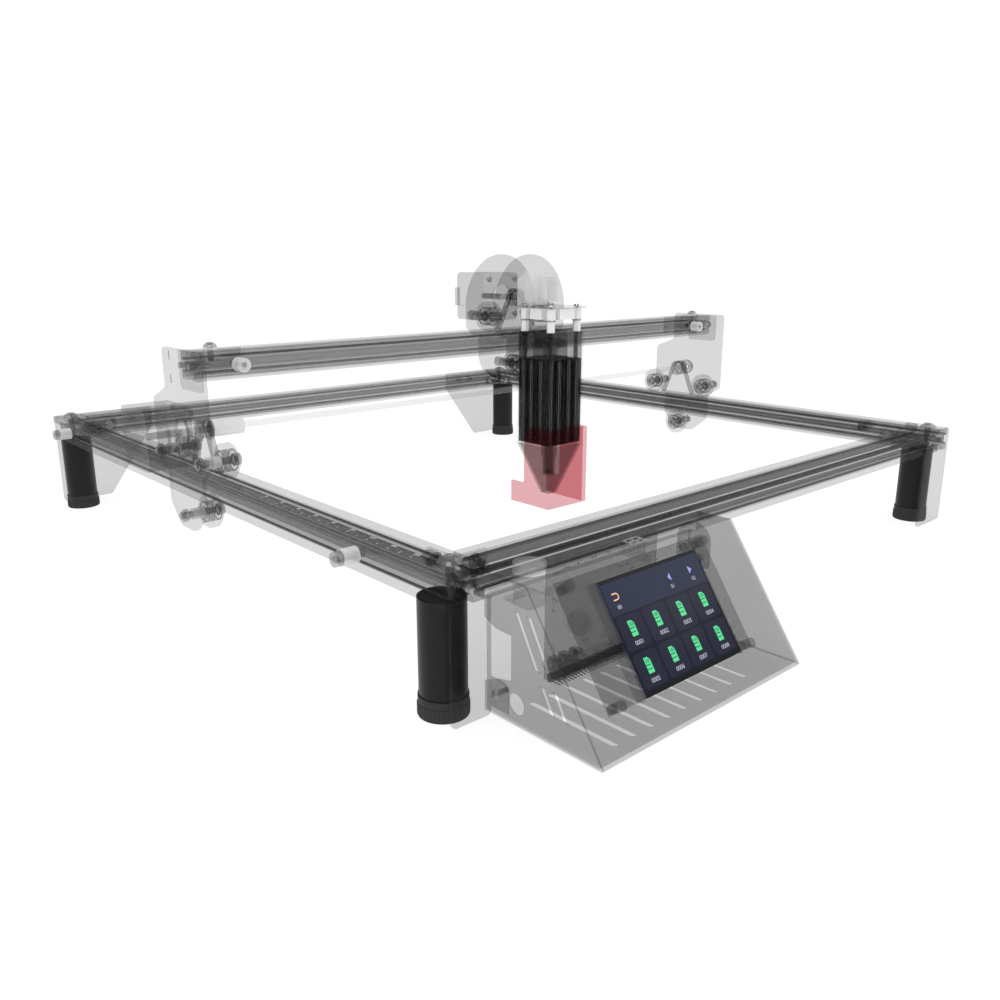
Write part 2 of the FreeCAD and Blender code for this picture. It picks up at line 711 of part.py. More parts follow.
def sharp_corner(edge, lobe_z):
    """True for the outline's own corners above the lobe, not for a rounded corner's ends."""
    centre = edge.CenterOfMass
    near = [math.hypot(centre.y - y, centre.z - z) for y, z in side_plate_outline()]
    return centre.z > lobe_z and min(near) < 0.01


def make_side_plate(sx):
    inner = sx * plate_inner_x
    solid = prism([(inner, y, z) for y, z in side_plate_outline()], (sx * side_plate, 0, 0))
    lobe_z = beam_bottom
    solid = round_edges(solid, 9.0, lambda e: along_axis(e, "x") and e.CenterOfMass.z < lobe_z)
    solid = round_edges(solid, 4.0, lambda e: along_axis(e, "x") and sharp_corner(e, lobe_z))
    for y, z in wheel_places():
        solid = solid.cut(rod(bolt_radius, (inner - sx, y, z), (inner + sx * 5, y, z)))
    hole = motor_boss_radius if sx < 0 else bearing_outer
    solid = solid.cut(rod(hole, (inner - sx, axle_y, shaft_z), (inner + sx * 5, axle_y, shaft_z)))
    for y in bracket_bolt_ys():
        solid = solid.cut(rod(2.0, (inner - sx, y, bracket_bolt_z), (inner + sx * 5, y, bracket_bolt_z)))
    if sx < 0:
        for y, z in motor_screw_places(axle_y, shaft_z):
            solid = solid.cut(rod(1.5, (inner - sx, y, z), (inner + sx * 5, y, z)))
    return solid


def wheel_places():
    return [(front_wheel_y, upper_wheel_z), (back_wheel_y, upper_wheel_z), (axle_y, lower_wheel_z)]


def motor_screw_places(a, b):
    return [(a + sa * 15.5, b + sb * 15.5) for sa in (-1, 1) for sb in (-1, 1)]


def bracket_bolt_ys():
    return [gantry_y - 8.0, gantry_y + 8.0]


def make_gantry_brackets():
    """Angle brackets: an end leaf between beam and side plate, and a leaf behind the beam."""
    brackets = []
    back = gantry_y + beam_width / 2
    for sx in (-1, 1):
        x0 = sx * gantry_half
        x1 = sx * plate_inner_x
        end = box(x0, x1, back + bracket_side, plate_front_y + 8.0, gantry_bottom - 7.0, gantry_top)
        end = round_edges(end, 4.0, lambda e: along_axis(e, "x") and e.CenterOfMass.z < gantry_bottom)
        leaf = box(sx * (gantry_half - bracket_leg), x1, back, back + bracket_side,
                   gantry_bottom + 1.0, gantry_top - 1.0)
        solid = end.fuse(leaf).removeSplitter()
        for y in bracket_bolt_ys():
            solid = solid.cut(rod(2.0, (x0 - sx, y, bracket_bolt_z), (x1 + sx, y, bracket_bolt_z)))
        brackets.append(solid)
    save("gantry_brackets", *brackets)


def make_gantry_beam():
    z = gantry_bottom + beam_height / 2
    beam = beam_between((-gantry_half, gantry_y, z), (gantry_half, gantry_y, z))
    for sx in (-1, 1):
        for y in bracket_bolt_ys():
            beam = beam.cut(rod(2.0, (sx * (gantry_half + 1), y, z), (sx * (gantry_half - 11), y, z)))
        beam = beam.cut(rod(2.0, (sx * x_stop, gantry_y - beam_width / 2 - 1, z),
                            (sx * x_stop, gantry_y, z)))
        beam = beam.cut(rod(2.0, (sx * top_bolt_x, gantry_y, gantry_top + 1),
                            (sx * top_bolt_x, gantry_y, gantry_top - 9)))
    save("gantry_beam", beam)


def make_gantry_hardware():
    """Bolts, nuts and screws of the gantry, and the light plastic spacers."""
    bolts = []
    spacers = []
    half = wheel_width / 2
    for sx in (-1, 1):
        inner_side = sx * (side_beam_x - half - gap)
        outer_side = sx * (side_beam_x + half + gap)
        for y, z in wheel_places():
            length = plate_outer_x + nut_length + 1.5 - abs(inner_side)
            bolts.append(cap_bolt((inner_side, y, z), (sx, 0, 0), bolt_radius, length,
                                  bolt_head_radius, bolt_head_length))
            spacers.append(tube(4.2, bolt_radius, (outer_side, y, z), (sx * plate_inner_x, y, z)))
            bolts.append(nut(8.0, bolt_radius, (sx * plate_outer_x, y, z),
                             (sx * (plate_outer_x + nut_length), y, z)))
        for y in bracket_bolt_ys():
            bolts.append(dome_bolt((sx * plate_outer_x, y, bracket_bolt_z), (-sx, 0, 0), 2.0,
                                   plate_outer_x - gantry_half + 10.0, 3.8, 2.2))
        stop_y = gantry_y - beam_width / 2
        spacers.append(tube(5.0, 2.0, (sx * x_stop, stop_y, bracket_bolt_z),
                            (sx * x_stop, stop_y - 9.0, bracket_bolt_z)))
        bolts.append(dome_bolt((sx * x_stop, stop_y - 9.0, bracket_bolt_z), (0, 1, 0), 2.0, 18.0,
                               5.0, 3.0))
        bolts.append(dome_bolt((sx * top_bolt_x, gantry_y, gantry_top + 2.0), (0, 0, -1), 2.0, 10.0,
                               5.0, 3.4))
        spacers.append(tube(4.6, 2.0, (sx * top_bolt_x, gantry_y, gantry_top),
                            (sx * top_bolt_x, gantry_y, gantry_top + 2.0)))
    for y, z in motor_screw_places(axle_y, shaft_z):
        bolts.append(dome_bolt((-plate_inner_x, y, z), (-1, 0, 0), 1.5, side_plate, 2.8, 1.6))
    save("gantry_bolts", *bolts)
    save("gantry_spacers", *spacers)


def make_x_belt():
    half = gantry_half - 24.0
    z = gantry_top - slot_depth
    y0 = gantry_y - belt_width / 2
    y1 = gantry_y + belt_width / 2
    save("x_belt", box(-half, half, y0, y1, z, z + belt_thickness))


def make_y_drive():
    """Motor outside the left plate, the shaft right across, its pulleys and its bearing."""
    motor = stepper_motor(y_motor_length, 24.0)
    motor.rotate(Vector(0, 0, 0), Vector(0, 0, 1), 180)
    motor.rotate(Vector(0, 0, 0), Vector(0, 1, 0), 90)
    motor.translate(Vector(-plate_outer_x, axle_y, shaft_z))
    save("y_motor", motor)
    joint_x = -side_inner_x + 1.5
    motor_shaft = rod(shaft_radius, (-plate_outer_x - 23.0, axle_y, shaft_z),
                      (joint_x - 0.5, axle_y, shaft_z))
    cross_shaft = rod(shaft_radius, (joint_x + 0.5, axle_y, shaft_z),
                      (plate_outer_x + 2.0, axle_y, shaft_z))
    save("drive_shaft", motor_shaft, cross_shaft)
    save("shaft_coupling", tube(6.2, shaft_radius, (joint_x - 9.0, axle_y, shaft_z),
                                (joint_x + 15.0, axle_y, shaft_z)))
    pulleys = []
    loops = []
    for sx in (-1, 1):
        pulley = toothed_pulley(shaft_radius)
        pulley.rotate(Vector(0, 0, 0), Vector(0, 1, 0), 90)
        pulley.translate(Vector(sx * side_beam_x, axle_y, shaft_z))
        pulleys.append(pulley)
        loop = belt_arch(19.0, beam_top + gap, shaft_z)
        loop.rotate(Vector(0, 0, 0), Vector(0, 0, 1), 90)
        loop.translate(Vector(sx * side_beam_x, axle_y, 0))
        loops.append(loop)
    save("y_pulleys", *pulleys)
    save("y_belt_arches", *loops)
    bearing = tube(bearing_outer, shaft_radius + run_clearance, (plate_inner_x, axle_y, shaft_z),
                   (plate_outer_x, axle_y, shaft_z))
    flange = tube(bearing_outer + 1.5, shaft_radius + run_clearance,
                  (plate_inner_x - 1.2, axle_y, shaft_z), (plate_inner_x, axle_y, shaft_z))
    save("shaft_bearing", bearing.fuse(flange).removeSplitter())


def make_y_wheels():
    for side, sx in (("left", -1), ("right", 1)):
        for place, (y, z) in zip(("front", "back", "lower"), wheel_places()):
            save("y_wheel_" + side + "_" + place, *wheel((sx * side_beam_x, y, z), (1, 0, 0)))


# ---- carriage ----
def x_wheel_places():
    half = x_wheel_spacing / 2
    return [(carriage_x - half, x_wheel_top_z), (carriage_x + half, x_wheel_top_z),
            (carriage_x, x_wheel_low_z)]


def carriage_outline(y):
    """Tall arch over the gantry that narrows into a rounded tongue below it."""
    half = carriage_half_width
    spring_z = gantry_top + 18.0
    neck = 27.0
    left = carriage_x - half
    right = carriage_x + half
    neck_left = carriage_x - neck
    neck_right = carriage_x + neck
    waist_z = gantry_top - 6.0
    tongue_z = gantry_bottom - 4.0
    arch = Part.Ellipse(Vector(carriage_x, y, carriage_top_z), Vector(left, y, spring_z),
                        Vector(carriage_x, y, spring_z))
    over = Part.ArcOfEllipse(arch, -math.pi / 2, math.pi / 2)
    tongue = Part.Arc(Vector(neck_right, y, tongue_z), Vector(carriage_x, y, carriage_bottom_z),
                      Vector(neck_left, y, tongue_z))
    edges = [over.toShape(),
             Part.LineSegment(Vector(right, y, spring_z), Vector(right, y, waist_z + 8)).toShape(),
             Part.LineSegment(Vector(right, y, waist_z + 8), Vector(right - 8, y, waist_z)).toShape(),
             Part.LineSegment(Vector(right - 8, y, waist_z), Vector(neck_right, y, waist_z)).toShape(),
             Part.LineSegment(Vector(neck_right, y, waist_z), Vector(neck_right, y, tongue_z)).toShape(),
             tongue.toShape(),
             Part.LineSegment(Vector(neck_left, y, tongue_z), Vector(neck_left, y, waist_z)).toShape(),
             Part.LineSegment(Vector(neck_left, y, waist_z), Vector(left + 8, y, waist_z)).toShape(),
             Part.LineSegment(Vector(left + 8, y, waist_z), Vector(left, y, waist_z + 8)).toShape(),
             Part.LineSegment(Vector(left, y, waist_z + 8), Vector(left, y, spring_z)).toShape()]
    return Part.Face(Part.Wire(edges))


def make_carriage_plates():
    front = carriage_outline(front_plate_face).extrude(Vector(0, carriage_plate, 0))
    rear = carriage_outline(rear_plate_face).extrude(Vector(0, -carriage_plate, 0))
    for x, z in x_wheel_places():
        hole = rod(bolt_radius, (x, front_plate_face - 1, z), (x, rear_plate_face + 1, z))
        front = front.cut(hole)
        rear = rear.cut(hole)
    rear = rear.cut(rod(motor_boss_radius, (carriage_x, rear_plate_face + 1, x_motor_z),
                        (carriage_x, rear_plate_face - 5, x_motor_z)))
    for x, z in motor_screw_places(carriage_x, x_motor_z):
        rear = rear.cut(rod(1.5, (x, rear_plate_face + 1, z), (x, rear_plate_face - 5, z)))
    for x in guide_screw_xs():
        front = front.cut(rod(1.5, (x, front_plate_face - 1, guide_z), (x, front_plate_face + 5, guide_z)))
    save("carriage_front_plate", front)
    save("carriage_rear_plate", rear)


def guide_screw_xs():
    return [carriage_x - 9.0, carriage_x + 9.0]


def make_carriage_hardware():
    """Wheel bolts with their spacers, the motor's screws and the laser's guide screws."""
    bolts = []
    half = wheel_width / 2
    front_inner = front_plate_face + carriage_plate
    rear_inner = rear_plate_face - carriage_plate
    for x, z in x_wheel_places():
        length = rear_plate_face - front_plate_face
        bolts.append(cap_bolt((x, rear_plate_face, z), (0, -1, 0), bolt_radius, length,
                              bolt_head_radius, bolt_head_length))
        bolts.append(tube(4.0, bolt_radius, (x, front_inner, z), (x, gantry_y - half - gap, z)))
        bolts.append(tube(4.0, bolt_radius, (x, gantry_y + half + gap, z), (x, rear_inner, z)))
    for x, z in motor_screw_places(carriage_x, x_motor_z):
        bolts.append(dome_bolt((x, rear_inner, z), (0, 1, 0), 1.5, carriage_plate, 2.8, 1.6))
    for x in guide_screw_xs():
        bolts.append(dome_bolt((x, slider_back_y - 1.5, guide_z), (0, 1, 0), 1.5,
                               1.5 + gap + carriage_plate, 3.2, 1.3))
    save("carriage_bolts", *bolts)


def make_x_drive():
    motor = stepper_motor(x_motor_length, 24.0)
    motor.rotate(Vector(0, 0, 0), Vector(0, 0, 1), 90)
    motor.rotate(Vector(0, 0, 0), Vector(1, 0, 0), 90)
    motor.translate(Vector(carriage_x, rear_plate_face, x_motor_z))
    save("x_motor", motor)
    pulley = toothed_pulley(shaft_radius)
    pulley.rotate(Vector(0, 0, 0), Vector(1, 0, 0), 90)
    pulley.translate(Vector(carriage_x, gantry_y, x_motor_z))
    shaft = rod(shaft_radius, (carriage_x, rear_plate_face + 22.0, x_motor_z),
                (carriage_x, gantry_y - pulley_width / 2 - 3.0, x_motor_z))
    save("x_pulley", pulley, shaft)
    arch = belt_arch(20.0, gantry_top + gap, x_motor_z)
    arch.translate(Vector(carriage_x, gantry_y, 0))
    save("x_belt_arch", arch)


def make_x_wheels():
    for place, (x, z) in zip(("left", "right", "lower"), x_wheel_places()):
        save("x_wheel_" + place, *wheel((x, gantry_y, z), (0, 1, 0)))


def make_cable_bracket():
    """Plug and clip for the module's lead, standing on the back edge of its board."""
    x0 = carriage_x - 20.0
    y1 = sleeve_back_y
    foot = 2.0
    rise = board_top_z + 3.0
    top = board_top_z + 28.8
    plug = [(x0, rise), (x0 + 17.0, rise), (x0 + 17.0, top), (x0 + 10.0, top), (x0, top - 7.0)]
    first = prism([(x, y1, z) for x, z in plug], (0, -9.0, 0))
    first = first.fuse(box(x0, x0 + 17.0, y1, y1 - foot, board_top_z, rise))
    clip = [(x0 + 19.0, rise), (x0 + 36.0, rise), (x0 + 36.0, top - 2.0), (x0 + 26.0, top - 2.0),
            (x0 + 19.0, top - 9.0)]
    second = prism([(x, y1, z) for x, z in clip], (0, -14.0, 0))
    pocket = box(x0 + 21.5, x0 + 33.5, y1 - foot, y1 - 16.0, rise - 1.0, top - 5.0)
    second = second.cut(pocket)
    second = second.fuse(box(x0 + 19.0, x0 + 36.0, y1, y1 - foot, board_top_z, rise))
    save("cable_bracket", first.removeSplitter(), second.removeSplitter())


# ---- laser module ----
def centred(width, depth, z0, z1):
    return box(carriage_x - width / 2, carriage_x + width / 2, module_y - depth / 2,
               module_y + depth / 2, z0, z1)


def make_heat_sink():
    """Block with a core and upright fins on its left, right and front."""
    solid = centred(sink_x, sink_y, module_bottom_z, fin_top_z)
    pitch_x = sink_x / fin_count_x
    fin_count_y = round(sink_y / pitch_x)
    pitch_y = sink_y / fin_count_y
    depth = 8.0
    cuts = []
    for k in range(fin_count_x):
        x = carriage_x - sink_x / 2 + (k + 0.5) * pitch_x
        y = module_y - sink_y / 2
        cuts.append(box(x - 1.1, x + 1.1, y - 1, y + depth, module_bottom_z - 1, fin_top_z + 1))
    for k in range(2, fin_count_y):
        y = module_y - sink_y / 2 + (k + 0.5) * pitch_y
        for sx in (-1, 1):
            x = carriage_x + sx * sink_x / 2
            cuts.append(box(x + sx, x - sx * depth, y - 1.1, y + 1.1, module_bottom_z - 1, fin_top_z + 1))
    solid = solid.cut(cuts)
    solid = solid.cut(rod(barrel_radius, (carriage_x, module_y, module_bottom_z),
                          (carriage_x, module_y, module_bottom_z + 12)))
    save("heat_sink", solid)


def make_sleeve():
    outer = centred(sleeve_x, sleeve_y, module_bottom_z, module_top_z)
    outer = round_edges(outer, 1.2, lambda e: along_axis(e, "z"))
    inner = centred(sleeve_x - 2 * sleeve_wall, sleeve_y - 2 * sleeve_wall, module_bottom_z - 1,
                    module_top_z + 1)
    solid = outer.cut(inner)
    seat = module_bottom_z
    base = centred(sleeve_x, sleeve_y, seat - 1.5, seat)
    hole = centred(sink_x - 8, sink_y - 8, seat - 3, seat + 3)
    save("laser_sleeve", solid.fuse(base.cut(hole)).removeSplitter())


def make_fan():
    """Fan above the fins: a square duct with four spokes to the motor, and its rotor."""
    frame = centred(sink_x, sink_y, fin_top_z, module_top_z)
    bore = rod(fan_bore_radius, (carriage_x, module_y, fin_top_z - 1), (carriage_x, module_y, module_top_z + 1))
    frame = frame.cut(bore)
    hub_z = fin_top_z + 8.0
    seat = rod(6.0, (carriage_x, module_y, fin_top_z), (carriage_x, module_y, hub_z))
    bars = [seat]
    for angle in (45, 135, 225, 315):
        bar = box(0, fan_bore_radius + 0.6, -0.8, 0.8, fin_top_z, fin_top_z + 2.0)
        bar.rotate(Vector(0, 0, 0), Vector(0, 0, 1), angle)
        bar.translate(Vector(carriage_x, module_y, 0))
        bars.append(bar)
    frame = frame.fuse(bars).removeSplitter()
    pin_hole = rod(1.0 + run_clearance, (carriage_x, module_y, fin_top_z + 2), (carriage_x, module_y, hub_z))
    save("fan_frame", frame.cut(pin_hole))
    rotor_z0 = hub_z + gap
    rotor_z1 = rotor_z0 + 9.0
    hub = rod(6.5, (carriage_x, module_y, rotor_z0), (carriage_x, module_y, rotor_z1))
    pin = rod(1.0, (carriage_x, module_y, fin_top_z + 2.2), (carriage_x, module_y, rotor_z0 + 1))
    blades = [pin]
    for k in range(7):
        blade = box(5.5, fan_bore_radius - 0.8, -0.6, 0.6, -4.0, 4.0)
        blade.rotate(Vector(0, 0, 0), Vector(1, 0, 0), 38)
        blade.rotate(Vector(0, 0, 0), Vector(0, 0, 1), k * 360.0 / 7)
        blade.translate(Vector(carriage_x, module_y, (rotor_z0 + rotor_z1) / 2))
        blades.append(blade)
    save("fan_rotor", hub.fuse(blades).removeSplitter())


def make_top_board():
    """Driver board on four two-part standoffs above the sleeve, with its sockets."""
    width = sleeve_x + 2.0
    depth = sleeve_y + 2.0
    board = centred(width, depth, board_z, board_z + board_thickness)
    board = round_edges(board, 2.5, lambda e: along_axis(e, "z"))
    fittings = []
    for sx in (-1, 1):
        for sy in (-1, 1):
            x = carriage_x + sx * (sink_x / 2 - 3.4)
            y = module_y + sy * (sink_y / 2 - 3.4)
            middle = (module_top_z + board_z) / 2
            fittings.append(hexagon(6.0, (x, y, module_top_z), (x, y, middle)))
            fittings.append(hexagon(7.0, (x, y, middle), (x, y, board_z)))
            fittings.append(dome_bolt((x, y, board_z + board_thickness), (0, 0, -1), 1.4,
                                      board_thickness, 2.8, 1.6))
            board = board.cut(rod(1.4, (x, y, board_z - 1), (x, y, board_z + 3)))
    socket_z = board_z - 9.0
    fittings.append(box(carriage_x - 9, carriage_x + 9, module_y - 19.5, module_y - 12.0, socket_z, board_z))
    fittings.append(box(carriage_x - 18.5, carriage_x - 11.5, module_y - 7, module_y + 7, socket_z, board_z))
    save("top_board", board)
    save("top_board_fittings", *fittings)


def make_slider():
    """Plate behind the sleeve with two long slots for the guide screws."""
    z0 = module_bottom_z + 12.0
    z1 = module_top_z - 2.0
    solid = box(carriage_x - 15, carriage_x + 15, sleeve_back_y, slider_back_y, z0, z1)
    low = guide_z - slider_up - 2.0
    high = guide_z + slider_down + 2.0
    for x in guide_screw_xs():
        solid = solid.cut(box(x - 1.9, x + 1.9, sleeve_back_y - 1, slider_back_y + 1, low, high))
        solid = solid.cut(box(x - 3.7, x + 3.7, sleeve_back_y - 1, slider_back_y - 1.2, low - 1.8, high + 1.8))
    save("laser_slider", solid)


def frustum(top_x, top_y, z_top, low_x, low_y, z_low):
    wires = []
    for width, depth, z in ((top_x, top_y, z_top), (low_x, low_y, z_low)):
        corners = [Vector(carriage_x + a * width / 2, module_y + b * depth / 2, z)
                   for a, b in ((-1, -1), (1, -1), (1, 1), (-1, 1))]
        wires.append(Part.makePolygon(corners + [corners[0]]))
    return Part.makeLoft(wires, True, True)


def make_nozzle():
    """Hollow square cone under the sleeve, and the lens barrel inside it."""
    z_top = module_bottom_z - 1.5
    outer = frustum(sleeve_x - 2, sleeve_y - 2, z_top, nozzle_tip, nozzle_tip, nozzle_bottom_z)
    wall = 2 * nozzle_wall
    inner = frustum(sleeve_x - 2 - wall, sleeve_y - 2 - wall, z_top, nozzle_tip - wall,
                    nozzle_tip - wall, nozzle_bottom_z)
    save("nozzle", outer.cut(inner))
    shoulder = module_bottom_z - 13.0
    tip = nozzle_bottom_z + 17.0
    wide = rod(barrel_radius, (carriage_x, module_y, shoulder), (carriage_x, module_y, module_bottom_z + 10))
    slim = rod(barrel_neck, (carriage_x, module_y, tip), (carriage_x, module_y, shoulder))
    bore = rod(3.5, (carriage_x, module_y, tip - 1), (carriage_x, module_y, module_bottom_z + 8))
    barrel = wide.fuse(slim).cut(bore).removeSplitter()
    lens = rod(3.5, (carriage_x, module_y, tip + 1), (carriage_x, module_y, tip + 3.5))
    save("lens_barrel", barrel, lens)


def make_shield():
    """Tinted guard that slides on the sleeve: a front, and two sides with low tabs behind."""
    x0 = carriage_x - shield_x / 2
    x1 = carriage_x + shield_x / 2
    y0 = shield_front_y
    tall_back = y0 + 31.0
    tab_back = y0 + 47.5
    front = box(x0, x1, y0, y0 + shield_wall, shield_bottom_z, shield_top_z)
    pieces = []
    for x, sx in ((x0, 1), (x1, -1)):
        inner = x + sx * shield_wall
        pieces.append(box(x, inner, y0, tall_back, shield_bottom_z, shield_top_z))
        pieces.append(box(x, inner, tall_back, tab_back, shield_bottom_z, shield_tab_top_z))
    save("laser_shield", front.fuse(pieces).removeSplitter())


def write_parts():
    """Move every piece so that the origin is the middle of the base of the bounding box."""
    everything = Part.makeCompound([s for solids in parts.values() for s in solids])
    limits = everything.BoundBox
    shift = Vector(-(limits.XMin + limits.XMax) / 2, -(limits.YMin + limits.YMax) / 2, -limits.ZMin)
    print("shift", round(shift.x, 4), round(shift.y, 4), round(shift.z, 4))
    print("size", round(limits.XLength, 3), round(limits.YLength, 3), round(limits.ZLength, 3))
    os.makedirs("parts", exist_ok=True)
    for name, solids in parts.items():
        shape = solids[0] if len(solids) == 1 else Part.makeCompound(solids)
        shape.translate(shift)
        shape.exportStep("parts/" + name + ".step")


def main():
    make_frame()
    corner_bolts, bolt_down = make_corners()
    drill_frame(bolt_down)
    screws = make_corner_plates()
    stop_bolts = make_y_stops()
    box_screws = make_box_floor()
    save("frame_bolts", *corner_bolts, *screws, *stop_bolts, *box_screws)
    make_y_belts()
    make_box_walls()
    make_box_front()
    make_boards(make_screen())
    make_button()
    for name, sx in (("left_gantry_plate", -1), ("right_gantry_plate", 1)):
        save(name, make_side_plate(sx))
    make_gantry_brackets()
    make_gantry_beam()
    make_gantry_hardware()
    make_x_belt()
    make_y_drive()
    make_y_wheels()
    make_carriage_plates()
    make_carriage_hardware()
    make_x_drive()
    make_x_wheels()
    make_cable_bracket()
    make_heat_sink()
    make_sleeve()
    make_fan()
    make_top_board()
    make_slider()
    make_nozzle()
    make_shield()
    write_parts()


main()
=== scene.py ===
import math

import bmesh
import bpy
from mathutils import Matrix, Vector


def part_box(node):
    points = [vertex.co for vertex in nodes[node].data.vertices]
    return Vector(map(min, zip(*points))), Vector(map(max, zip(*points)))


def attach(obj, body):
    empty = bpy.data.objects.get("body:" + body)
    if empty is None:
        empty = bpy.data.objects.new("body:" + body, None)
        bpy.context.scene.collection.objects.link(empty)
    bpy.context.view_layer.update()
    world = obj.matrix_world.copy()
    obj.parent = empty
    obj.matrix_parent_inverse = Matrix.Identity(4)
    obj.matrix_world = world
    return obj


# Desktop laser cutter, shown as a see-through model: smoke-tinted beams, plates and box, so that
# the motors, boards, wheels and screws inside show, with opaque black feet and a live touch screen.
# The scene is in metres. Places come from the CAD nodes' boxes, and sizes are in millimetres * MM.
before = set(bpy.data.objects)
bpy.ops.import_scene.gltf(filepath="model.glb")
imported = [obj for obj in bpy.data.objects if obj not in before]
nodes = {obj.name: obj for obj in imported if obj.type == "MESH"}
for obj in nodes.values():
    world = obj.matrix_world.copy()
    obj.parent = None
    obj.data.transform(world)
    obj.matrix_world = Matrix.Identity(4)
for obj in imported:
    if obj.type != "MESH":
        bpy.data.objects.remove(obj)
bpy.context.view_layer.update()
MM = 0.001


# ---- materials ----
def linear(hex_colour):
    """sRGB hex colour as the linear RGBA that Blender's sockets hold."""
    channels = [int(hex_colour[k:k + 2], 16) / 255 for k in (1, 3, 5)]
    return tuple(c / 12.92 if c <= 0.04045 else ((c + 0.055) / 1.055) ** 2.4 for c in channels) + (1.0,)


def add_node(material, kind, settings, links=()):
    """Add a node. Settings name its sockets or properties, and each link is (socket, node, output)."""
    node = material.node_tree.nodes.new(kind)
    for name, value in settings.items():
        if isinstance(name, int) or name in node.inputs:
            node.inputs[name].default_value = value
        else:
            setattr(node, name, value)
    for socket, source, output in links:
        material.node_tree.links.new(source.outputs[output], node.inputs[socket])
    return node


def blank(name):
    """New material with an empty node tree."""
    material = bpy.data.materials.new(name)
    material.use_nodes = True
    material.node_tree.nodes.clear()
    return material


def finish_with(material, shader, output="BSDF"):
    """Send the shader to the surface and return the material."""
    add_node(material, "ShaderNodeOutputMaterial", {}, [("Surface", shader, output)])
    return material


def patterned(name, light, dark, size_mm, rough, stretch=(1, 1, 1), bump_mm=0.0, **shader):
    """Material whose colour and roughness drift over a noise with features of size_mm.

    light and dark are the two hex colours, rough the two roughnesses, and stretch makes the
    features that many times longer along X, Y and Z. The rest goes on the shader's sockets.
    """
    material = blank(name)
    places = add_node(material, "ShaderNodeTexCoord", {})
    laid = add_node(material, "ShaderNodeMapping", {"Scale": tuple(1 / s for s in stretch)},
                    [("Vector", places, "Object")])
    drift = add_node(material, "ShaderNodeTexNoise", {"Scale": 1 / (size_mm * MM), "Detail": 4.0},
                     [("Vector", laid, "Vector")])
    colour = add_node(material, "ShaderNodeMix", {"data_type": "RGBA", 6: linear(dark), 7: linear(light)},
                      [(0, drift, 0)])
    roughness = add_node(material, "ShaderNodeMapRange", {"To Min": rough[0], "To Max": rough[1]},
                         [("Value", drift, 0)])
    settings = {key.replace("_", " ").title().replace("Ior", "IOR"): value for key, value in shader.items()}
    links = [("Base Color", colour, 2), ("Roughness", roughness, "Result")]
    if bump_mm:
        bump = add_node(material, "ShaderNodeBump", {"Distance": bump_mm * MM}, [("Height", drift, 0)])
        links.append(("Normal", bump, "Normal"))
    body = add_node(material, "ShaderNodeBsdfPrincipled", settings, links)
    return finish_with(material, body)


def deeper_inside(material, across, skin, inner):
    """Alpha that is skin on a beam's outer faces and inner on the webs and slots within."""
    places = add_node(material, "ShaderNodeTexCoord", {})
    parted = add_node(material, "ShaderNodeSeparateXYZ", {}, [("Vector", places, "Generated")])
    reaches = []
    for axis in across:
        off = add_node(material, "ShaderNodeMath", {"operation": "SUBTRACT", 1: 0.5}, [(0, parted, axis)])
        reaches.append(add_node(material, "ShaderNodeMath", {"operation": "ABSOLUTE"}, [(0, off, 0)]))
    reach = add_node(material, "ShaderNodeMath", {"operation": "MAXIMUM"},
                     [(0, reaches[0], 0), (1, reaches[1], 0)])
    alpha = add_node(material, "ShaderNodeMapRange", {"From Min": 0.48, "From Max": 0.49, "To Min": inner,
                                                      "To Max": skin}, [("Value", reach, 0)])
    body = material.node_tree.nodes["Principled BSDF"]
    material.node_tree.links.new(alpha.outputs["Result"], body.inputs["Alpha"])


def tinted(name, light, dark, size_mm, gloss_colour, gloss_share):
    """Clear sheet that colours the light that passes, with a thin gloss on top."""
    material = blank(name)
    places = add_node(material, "ShaderNodeTexCoord", {})
    drift = add_node(material, "ShaderNodeTexNoise", {"Scale": 1 / (size_mm * MM)},
                     [("Vector", places, "Object")])
    colour = add_node(material, "ShaderNodeMix", {"data_type": "RGBA", 6: linear(dark), 7: linear(light)},
                      [(0, drift, 0)])
    clear = add_node(material, "ShaderNodeBsdfTransparent", {}, [("Color", colour, 2)])
    roughness = add_node(material, "ShaderNodeMapRange", {"To Min": 0.08, "To Max": 0.14},
                         [("Value", drift, 0)])
    gloss = add_node(material, "ShaderNodeBsdfPrincipled", {"Base Color": linear(gloss_colour)},
                     [("Roughness", roughness, "Result")])
    both = add_node(material, "ShaderNodeMixShader", {0: gloss_share},
                    [(1, clear, "BSDF"), (2, gloss, "BSDF")])
    return finish_with(material, both, "Shader")


# Smoke-tinted cast acrylic sheet, laser cut: each face holds back about a fifth of the light.
smoked_sheet = patterned("smoked_acrylic_sheet", "#161617", "#0c0c0d", 60, (0.10, 0.18),
                         alpha=0.2, specular_ior_level=0.3)
# The same tint, a little denser, for the skirts on the frame's corners.
smoked_skirt = patterned("smoked_acrylic_skirt", "#161617", "#0c0c0d", 60, (0.10, 0.18),
                         alpha=0.23, specular_ior_level=0.3)
# The same tint in thin folded panels for the control box.
smoked_panel = patterned("smoked_acrylic_panel", "#161617", "#0c0c0d", 60, (0.12, 0.2),
                         alpha=0.235, specular_ior_level=0.3)
